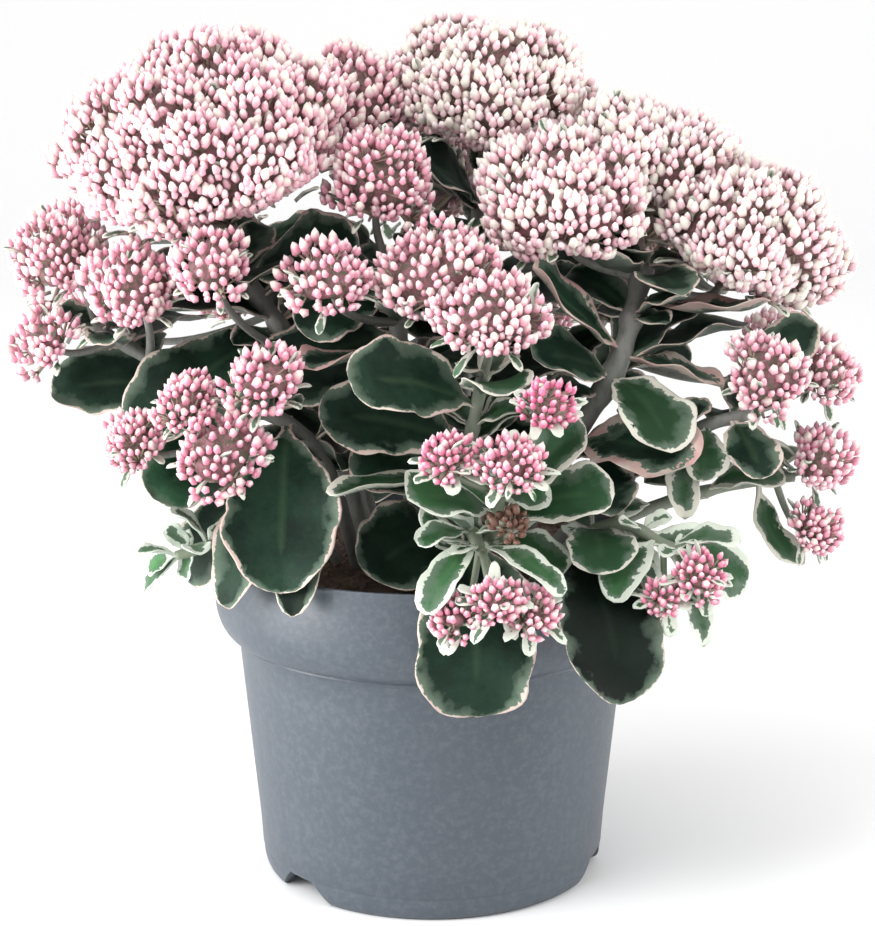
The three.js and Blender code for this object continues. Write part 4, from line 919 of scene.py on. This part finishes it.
# A leaf as a fleshy closed solid with a grooved midrib. Its marks tell the material how far a point is
# from the edge and from the midrib, in mm.
def addLeaf(bits, leaf, slot, size):
    f = foliage
    rings, edge = f["rings"][size], f["bractEdge" if size == "bract" else "edge"]
    s = -0.04 + 1.04 * (1 - (1 - np.arange(rings) / rings) ** 1.35)  # closer together near the tip
    t = np.array(list(edge) + [-x for x in reversed(edge[:-1])])
    points, normal, half, length = leafSurface(leaf, s, t)
    small = f["smallShare"] if leaf["width"] < f["smallWidth"] else 1
    thick = f["thick"] * small * np.sqrt(np.maximum(0, 1 - t ** 6)) * (1 - 0.35 * t ** 2)
    taper = np.clip((1 - s) * 9, 0.25, 1)[:, None]
    groove = small * f["groove"] * np.exp(-(t / f["grooveWidth"]) ** 2)
    groove = groove * np.clip((f["grooveEnd"] - s) * 2, 0, 1)[:, None]
    upper = points + normal * (thick * taper - groove)[..., None]
    lower = points - normal * (thick * taper + groove * 1.4)[..., None]
    tip = blade(leaf, np.array([1.0]), np.array([0.0]))[0].reshape(1, 3)
    verts = np.concatenate([upper.reshape(-1, 3), lower[:, 1:-1].reshape(-1, 3), tip])
    fromEdge = (1 - np.abs(t)) * half
    fromEdge = np.minimum(fromEdge, ((1 - s) * length)[:, None] + 0.2 * fromEdge)
    fromRib = np.abs(t) * half + 30 * np.clip(s - 0.75, 0, 1)[:, None]
    isTop = np.repeat([1.0, 0.0, 1.0], [rings * len(t), rings * (len(t) - 2), 1])
    # The last look value, the blade's lightness, is painted shade for the leaves of the dark look.
    young, margin, pink, light = looks[leaf["look"]]
    addBits(bits, verts, leafFaces(rings, len(t)), slot, rim=onBothFaces(fromEdge),
            rib=onBothFaces(fromRib), top=isTop, margin=margin * random.uniform(*f["marginVariety"]),
            tone=random.random(), young=young, pink=pink, light=light)


def shootPiece(name, materials):
    foot, top = shoots[name][1:]
    young = looks[looksOf.get(name, "old")][0]
    mine = [leaf for leaf in leaves if leaf["on"] == name]
    bits = newBits()
    t = np.linspace(0, 1, stems["steps"])
    line, radii = pathAt(name, t), foot + (top - foot) * t
    for leaf in mine:  # the stem thickens where a leaf grows
        away = np.linalg.norm(line - leaf["base"], axis=1)
        radii = radii * (1 + stems["knot"] * np.exp(-(away / stems["knotReach"]) ** 2))
    radii = np.minimum(radii, foot * stems["thickest"])
    addTube(bits, line, radii, stems["sides"], 0, young=young)
    u = np.linspace(0, 1, stems["branchSteps"])
    for head in allHeads:
        if head["on"] == name:
            thick = min(top, growth["branchBase"] + head["r"] * growth["branchShare"])
            radii = thick * (1 - growth["branchTaper"] * u)
            addTube(bits, branchAt(head, u), radii, stems["branchSides"], 0, young=young)
    for leaf in mine:
        wide, narrow = leaf["width"] > foliage["largeWidth"], leaf["width"] < foliage["smallWidth"]
        addLeaf(bits, leaf, 1, "large" if wide else "small" if narrow else "middling")
    piece = pieceFrom("shootOf" + name[0].upper() + name[1:], bits, materials)
    standsFor(piece, "shoot_" + name)


# Flower heads: domes of small bunches, each bunch a crown of pointed buds on fine stalks.
flowers = {
    "small": 15, "middling": 30, "bunch": {"large": 17.0, "middling": 12.5, "small": 8.0},
    "spacing": {"large": 3.0, "middling": 3.2, "small": 2.7},
    "lowest": {"large": -0.34, "middling": -0.2, "small": -0.2},
    "scale": {"large": 1, "middling": 0.92, "small": 0.78},
    "length": 6.0, "width": 2.05, "sides": 5, "profile": [(0.0, 0.42), (0.34, 1.0), (0.72, 0.68)],
    "tries": 30, "leastTries": 60, "bigShare": 0.3, "bigScale": (1.05, 1.25), "littleScale": (0.76, 0.98),
    "edge": 0.22, "dropped": 0.7, "sunk": 5.0, "sunkFull": 12, "lift": 2.0, "liftRange": (-4, 3),
    "liftFull": 20, "hub": 9, "hubDepth": 6, "hubPull": 0.25, "stalk": 0.42,
    "stalkEvery": {"large": 3, "middling": 3, "small": 1},
    "coreShare": 0.86, "coreDepth": 3.8, "coreLeast": 0.3, "coreUnder": 0.2,
    "deep": (0.72, 0.19, 0.33), "rose": (0.88, 0.63, 0.67), "tip": (0.93, 0.84, 0.83),
    "cream": (0.88, 0.87, 0.75), "calyx": (0.50, 0.34, 0.30), "faded": (0.17, 0.085, 0.06),
    "stalkGreen": (0.28, 0.30, 0.20), "stalkPink": (0.42, 0.26, 0.24),
    "core": (0.130, 0.125, 0.090), "coreRed": (0.340, 0.160, 0.185),
    "roughness": 0.48, "stalkRoughness": 0.6, "coreRoughness": 0.9, "subsurface": 0.15,
    "radius": (0.002, 0.001, 0.001),
}
# Narrow pale bracts under the heads. The small heads at the front have a ruff of larger ones.
bracts = {
    "count": 3, "perRadius": 0.2, "length": (9, 16), "width": (2.6, 4.6), "out": 0.72, "inside": 0.4,
    "below": 1.5, "tilt": (-0.3, 0.5), "droop": 30, "face": 20, "leastLevel": 1,
    "ruffOn": ("frontSmall", "rim", "rimRight"), "ruffCount": 7, "ruffLength": (12, 19),
    "ruffWidth": (4.5, 7.5), "brightTip": {"on": "headFarRightOuter", "turn": 25, "length": 17, "width": 8},
    "innerPerRadius": 0.2, "innerDepth": 4.5, "innerLength": (8, 11.5), "innerWidth": (2.4, 4),
    "innerUp": 0.4, "innerSpread": 0.35,
}


def budMaterial():
    f = flowers
    material, tree, shader = newMaterial("bud")
    along, tone, deep, big = (mark(tree, name) for name in ("along", "tone", "deep", "big"))
    # The white starts nearer the foot of a bud whose tone is high, and later on a deep pink head.
    whiteShare = times(tree, tone, sums(tree, "MULTIPLY_ADD", deep, -0.75, 1.0))
    start = sums(tree, "MULTIPLY_ADD", whiteShare, -0.8, 0.72)
    lift = times(tree, sums(tree, "SUBTRACT", along, start), 2.6, clamp=True)
    whitened = times(tree, lift, sums(tree, "MULTIPLY_ADD", deep, -0.3, 1.0))
    tip = mixColour(tree, times(tree, big, 0.75), f["tip"], f["cream"])
    petal = mixColour(tree, whitened, mixColour(tree, deep, f["rose"], f["deep"]), tip)
    colour = mixColour(tree, fall(tree, along, 0.0, 0.2), petal, f["calyx"])
    dress(tree, shader, Base_Color=mixColour(tree, mark(tree, "faded"), colour, f["faded"]),
          Roughness=f["roughness"], Subsurface_Weight=f["subsurface"], Subsurface_Radius=f["radius"],
          Normal=bump(tree, noise(tree, 900, 2), 0.15, 0.0003))
    return material


def stalkMaterial():
    material, tree, shader = newMaterial("flowerStalk")
    dress(tree, shader, Roughness=flowers["stalkRoughness"],
          Base_Color=mixColour(tree, noise(tree, 90, 3), flowers["stalkGreen"], flowers["stalkPink"]),
          Normal=bump(tree, noise(tree, 500, 2), 0.3, 0.0004))
    return material


def coreMaterial():
    material, tree, shader = newMaterial("flowerCore")
    clotted = fall(tree, noise(tree, 260, 5, 0.7), 0.4, 0.6)
    dress(tree, shader, Base_Color=mixColour(tree, clotted, flowers["coreRed"], flowers["core"]),
          Roughness=flowers["coreRoughness"], Normal=bump(tree, noise(tree, 350, 4), 0.9, 0.002))
    return material


# Points kept at least a spacing apart, the first come first.
def thinned(points, spacing):
    cells, kept = {}, []
    keys = np.floor(points / spacing).astype(int)
    around = [(a, b, c) for a in (-1, 0, 1) for b in (-1, 0, 1) for c in (-1, 0, 1)]
    for i, (x, y, w) in enumerate(keys):
        near = [j for a, b, c in around for j in cells.get((x + a, y + b, w + c), ())]
        if near and (((points[near] - points[i]) ** 2).sum(1) < spacing ** 2).any():
            continue
        cells.setdefault((x, y, w), []).append(i)
        kept.append(i)
    return np.array(kept)


# Points over a head's face, with the way outwards at each.
def facePoints(head, wanted, lowest):
    z = rng.uniform(lowest, 1, wanted)
    turn = rng.uniform(0, 2 * math.pi, wanted)
    flat = np.sqrt(1 - z ** 2)
    d = np.stack([flat * np.cos(turn), flat * np.sin(turn), z], 1)
    outward = unit((d / head["stretch"]) @ head["axes"])
    return headPoint(head, d * headReach(head, d)[:, None]), outward


# Buds in small bunches: sunk and thinned out where two bunches meet, and leaning away from the middle.
def budPlaces(head, spacing, bunch, lowest):
    f = flowers
    area = head["r"] * (head["h"] + head["r"])
    points, outward = facePoints(head, int(f["tries"] * area / spacing ** 2) + f["leastTries"], lowest)
    middles = points[thinned(points, bunch)]
    lifts = np.clip(rng.normal(0, f["lift"], len(middles)), *f["liftRange"])
    lifts = lifts * min(1, head["r"] / f["liftFull"])
    away = np.linalg.norm(points[:, None] - middles[None], axis=2)
    owner = np.argmin(away, 1)
    border = np.zeros(len(points))  # 1 where two bunches meet, 0 within one
    if len(middles) > 1:
        nearest = np.partition(away, 1, axis=1)
        border = np.exp(-((nearest[:, 1] - nearest[:, 0]) / (bunch * f["edge"])) ** 2)
    stays = np.nonzero(rng.random(len(points)) > border * f["dropped"])[0]
    kept = stays[thinned(points[stays], spacing)]
    lean = (points - middles[owner])[kept] / bunch
    rise = (lifts[owner] - border * f["sunk"] * min(1, bunch / f["sunkFull"]))[kept]
    return points[kept] + outward[kept] * rise[:, None], outward[kept], lean


# Many copies of one small shape at once: the corners of each copy, and the faces of the first.
def addMany(bits, verts, quads, tris, slot, **marks):
    many, count = verts.shape[:2]
    shift = (np.arange(many) * count)[:, None, None]
    marks = {name: np.broadcast_to(values, (many, count)).ravel() for name, values in marks.items()}
    runs = (quads + shift).reshape(-1, 4), (tris + shift).reshape(-1, 3)
    addBits(bits, verts.reshape(-1, 3), runs, slot, **marks)


# A bud is a few rings round its axis, a flat foot and a point.
def addBuds(bits, base, axis, size, **marks):
    f = flowers
    sides, rows = f["sides"], len(f["profile"])
    side = unit(np.cross(axis, rng.normal(size=axis.shape)))
    circle = circleOf(side, np.cross(axis, side), sides)
    rings = [base[:, None] + axis[:, None] * (h * f["length"] * size)[:, None, None]
             + circle * (w * f["width"] * size)[:, None, None] for h, w in f["profile"]]
    verts = np.concatenate(rings + [(base + axis * (f["length"] * size)[:, None])[:, None]], 1)
    foot = [(0, i + 1, i) for i in range(1, sides - 1)]
    tris = np.concatenate([fan((rows - 1) * sides, sides, rows * sides), foot])
    along = np.repeat([h for h, w in f["profile"]] + [1.0], [sides] * rows + [1])
    marks = {name: np.reshape(value, (-1, 1)) for name, value in marks.items()}
    addMany(bits, verts, ringQuads(rows, sides), tris, 2, along=along, **marks)


# The finest stalks have three sides and flat ends.
def addStalks(bits, start, end, thick):
    axis = unit(end - start)
    side = unit(np.cross(axis, (0.3, 0.2, 0.93)))
    circle = circleOf(side, np.cross(axis, side), 3) * thick
    verts = np.concatenate([start[:, None] + circle * 1.2, end[:, None] + circle], 1)
    addMany(bits, verts, ringQuads(2, 3), np.array([(0, 2, 1), (3, 4, 5)]), 0)


# The dark mass of stalks inside a head: a dome that the buds hide, with a shallow underside.
def addCore(bits, head):
    f = flowers
    turns = max(12, int(head["r"] * 0.6) + 8)  # more on a larger head
    rows = max(6, turns // 2)
    z = np.sin(np.linspace(-math.pi / 2, math.pi / 2, rows + 1))[1:-1]
    a = np.tile(np.arange(turns) * 2 * math.pi / turns, len(z))
    flat = np.repeat(np.sqrt(1 - z ** 2), turns)
    d = np.stack([flat * np.cos(a), flat * np.sin(a), np.repeat(z, turns)], 1)
    d = np.concatenate([d, [(0, 0, -1), (0, 0, 1)]])
    reach = np.maximum(headReach(head, d) * f["coreShare"] - f["coreDepth"] / head["r"], f["coreLeast"])
    under = f["coreUnder"] / np.maximum(-d[:, 2], f["coreUnder"])
    reach = np.where(d[:, 2] < 0, np.minimum(reach, under), reach)
    addBits(bits, headPoint(head, d * reach[:, None]), closedFaces(len(z), turns), 1)


# A bract that would point straight up or down has no heading, and is left out.
def addBract(bits, base, tip, width, look):
    b = bracts
    if np.hypot(*(tip - base)[:2]) > b["leastLevel"]:
        leaf = {"base": base, "tip": tip, "width": width, "look": look}
        addLeaf(bits, {**leaf, "droop": b["droop"], "face": b["face"]}, 3, "bract")


# An outer bract grows from the stalks under the dome and reaches out past its rim.
def addOuterBract(bits, head, turn, length, width, look):
    b = bracts
    out = math.cos(turn) * head["axes"][0] + math.sin(turn) * head["axes"][1]
    start = max(0.1, b["out"] * head["r"] - length * b["inside"])
    depth = dome["depth"] * (head["r"] - start) + b["below"]
    base = head["c"] + out * start - head["n"] * depth
    addBract(bits, base, base + unit(out + head["n"] * random.uniform(*b["tilt"])) * length, width, look)


# A few small bracts stand up between the bunches.
def addInnerBracts(bits, head, points, outward):
    b = bracts
    wanted = min(len(points), int(head["r"] * b["innerPerRadius"]))
    for i in rng.choice(len(points), wanted, replace=False):
        base = points[i] - outward[i] * b["innerDepth"]
        way = unit(outward[i] + up * b["innerUp"] + rng.normal(0, b["innerSpread"], 3))
        tip = base + way * random.uniform(*b["innerLength"])
        addBract(bits, base, tip, random.uniform(*b["innerWidth"]), "bract")


def addBracts(bits, head):
    b = bracts
    ruff = head["on"] in b["ruffOn"]
    count = b["ruffCount"] if ruff else int(b["count"] + b["perRadius"] * head["r"])
    lengths, widths = (b["ruffLength"], b["ruffWidth"]) if ruff else (b["length"], b["width"])
    for k in range(count):
        turn = 2 * math.pi * (k + random.uniform(0, 0.7)) / count
        length, width = random.uniform(*lengths), random.uniform(*widths)
        addOuterBract(bits, head, turn, length, width, "fresh" if ruff else "bract")
    tip = b["brightTip"]
    if head["name"] == tip["on"]:
        addOuterBract(bits, head, math.radians(tip["turn"]), tip["length"], tip["width"], "bright")


# Each bud points partly out from the face, partly as the head faces, partly up and partly out of its
# bunch. It is either big and creamy or little.
def addHeadBuds(bits, head, size, points, outward, lean):
    f = flowers
    count = len(points)
    axis = unit(outward * 0.6 + head["n"] * 0.35 + up * 0.5 + lean * 0.6 + rng.normal(0, 0.09, points.shape))
    big = (rng.random(count) < f["bigShare"] * (1.2 - head["pink"])).astype(float)
    scale = np.where(big > 0, rng.uniform(*f["bigScale"], count), rng.uniform(*f["littleScale"], count))
    scale = scale * f["scale"][size]
    base = points - axis * (f["length"] * scale * 0.34 + rng.uniform(-0.8, 1.4, count))[:, None]
    tone = np.clip(rng.uniform(0.05, 0.85, count) + big * 0.4, 0, 1)
    faded = float(head["name"] == "headFaded")
    addBuds(bits, base, axis, scale, tone=tone, deep=head["pink"], faded=faded, big=big)
    return base, axis


# Stout stalks fork from the branch to a root under each bunch, thinner ones from there to a hub under
# every few buds, and the finest from a hub to its buds.
def addHeadStalks(bits, head, size, base, axis):
    f = flowers
    seat = head["c"] - head["n"] * head["r"] * dome["depth"]
    roots = np.array([headPoint(head, centre) for centre, radius in head["balls"]] + [head["c"]])
    reach = np.array([radius * head["r"] for centre, radius in head["balls"]] + [head["r"] * 0.5])
    roots = roots - head["n"] * (0.55 * reach)[:, None]
    hubs = base[::f["hub"]] - axis[::f["hub"]] * f["hubDepth"]
    mine = np.argmin(((hubs[:, None] - roots[None]) ** 2).sum(2), 1)
    hubs = hubs + (roots[mine] - hubs) * f["hubPull"]
    nearest = np.argmin(((base[:, None] - hubs[None]) ** 2).sum(2), 1)
    some = slice(None, None, f["stalkEvery"][size])
    addStalks(bits, hubs[nearest][some], (base + axis * 0.4)[some], f["stalk"])
    for hub, root in zip(hubs, roots[mine]):
        line = [seat + (root - seat) * 0.55, root, (root + hub) / 2 + head["n"], hub]
        addTube(bits, line, [1.1, 0.95, 0.8, 0.6], 5, 0)
    for root in roots:
        line = [seat - head["n"] * 0.2, seat + (root - seat) * 0.4 - head["n"] * 0.8, root]
        addTube(bits, line, [1.5, 1.35, 1.1], 7, 0)


def headPiece(head, materials):
    f = flowers
    size = "small" if head["r"] < f["small"] else "middling" if head["r"] < f["middling"] else "large"
    faded = head["name"] == "headFaded"
    bits = newBits()
    addCore(bits, head)
    points, outward, lean = budPlaces(head, f["spacing"][size], f["bunch"][size], f["lowest"][size])
    base, axis = addHeadBuds(bits, head, size, points, outward, lean)
    addHeadStalks(bits, head, size, base, axis)
    if not faded:
        addBracts(bits, head)
        addInnerBracts(bits, head, points, outward)
    piece = pieceFrom("budsOf" + head["name"][4:], bits, materials)
    standsFor(piece, head["name"])
    return len(points)


potPiece()
soilPiece()
print("shoots")
leafLook = leafMaterial()
shootMaterials = [stemMaterial(), leafLook]
for name in shoots:
    shootPiece(name, shootMaterials)
print("flower heads")
headMaterials = [stalkMaterial(), coreMaterial(), budMaterial(), leafLook]
budCount = sum(headPiece(head, headMaterials) for head in allHeads)
faceCount = sum(len(mesh.loops) - 2 * len(mesh.polygons) for mesh in bpy.data.meshes)
print(budCount, "buds and", faceCount, "triangles in all")

# A pale floor that sweeps up into a wall behind the plant, under soft light, in a white surround.
studio = {
    "floor": (0.93, 0.93, 0.93), "roughness": 0.9, "half": 8, "flat": 2.6, "sweep": 1.8, "steps": 24,
    "wall": 5, "world": (1.0, 1.0, 1.0), "worldPower": 1.0,
    "key": {"place": (-1.1, -1.2, 1.7), "target": (0, 0, 0.22), "size": 1.1, "power": 21},
    "fill": {"place": (1.6, -1.4, 0.9), "target": (0, 0, 0.2), "size": 1.4, "power": 4.5},
    "low": {"place": (-0.8, -0.3, 0.14), "target": (0, 0, 0.06), "size": 0.5, "power": 9},
    "right": {"place": (0.9, -0.1, 0.14), "target": (0, 0, 0.06), "size": 0.5, "power": 4},
}


def makeFloor():
    s = studio
    side = [(-s["half"], 0)]
    for k in range(s["steps"] + 1):
        a = math.pi / 2 * k / s["steps"]
        side.append((s["flat"] + s["sweep"] * math.sin(a), s["sweep"] * (1 - math.cos(a))))
    side.append((s["flat"] + s["sweep"], s["wall"]))
    corners = [(x, y, z) for y, z in side for x in (-s["half"], s["half"])]
    faces = [(i, i + 1, i + 3, i + 2) for i in range(0, len(corners) - 2, 2)]
    mesh = bpy.data.meshes.new("floor")
    mesh.from_pydata(corners, [], faces, shade_flat=False)
    material, tree, shader = newMaterial("paleFloor")
    dress(tree, shader, Base_Color=s["floor"], Roughness=s["roughness"], Specular_IOR_Level=0.0)
    mesh.materials.append(material)
    return addObject("floor", mesh)


def areaLight(name, place, target, size, power):
    data = bpy.data.lights.new(name, "AREA")
    data.shape = "DISK"
    data.size = size
    data.energy = power
    lamp = addObject(name, data)
    lamp.location = place
    away = unit(np.array(place) - np.array(target))
    lamp.rotation_euler = (math.acos(away[2]), 0, math.atan2(away[0], -away[1]))


print("studio")
floor = makeFloor()
for name in ("key", "fill", "low", "right"):
    areaLight(name, **studio[name])
world = bpy.data.worlds.new("studio")
bpy.context.scene.world = world
world.use_nodes = True
sky = world.node_tree.nodes["Background"]
dress(world.node_tree, sky, Color=studio["world"], Strength=studio["worldPower"])
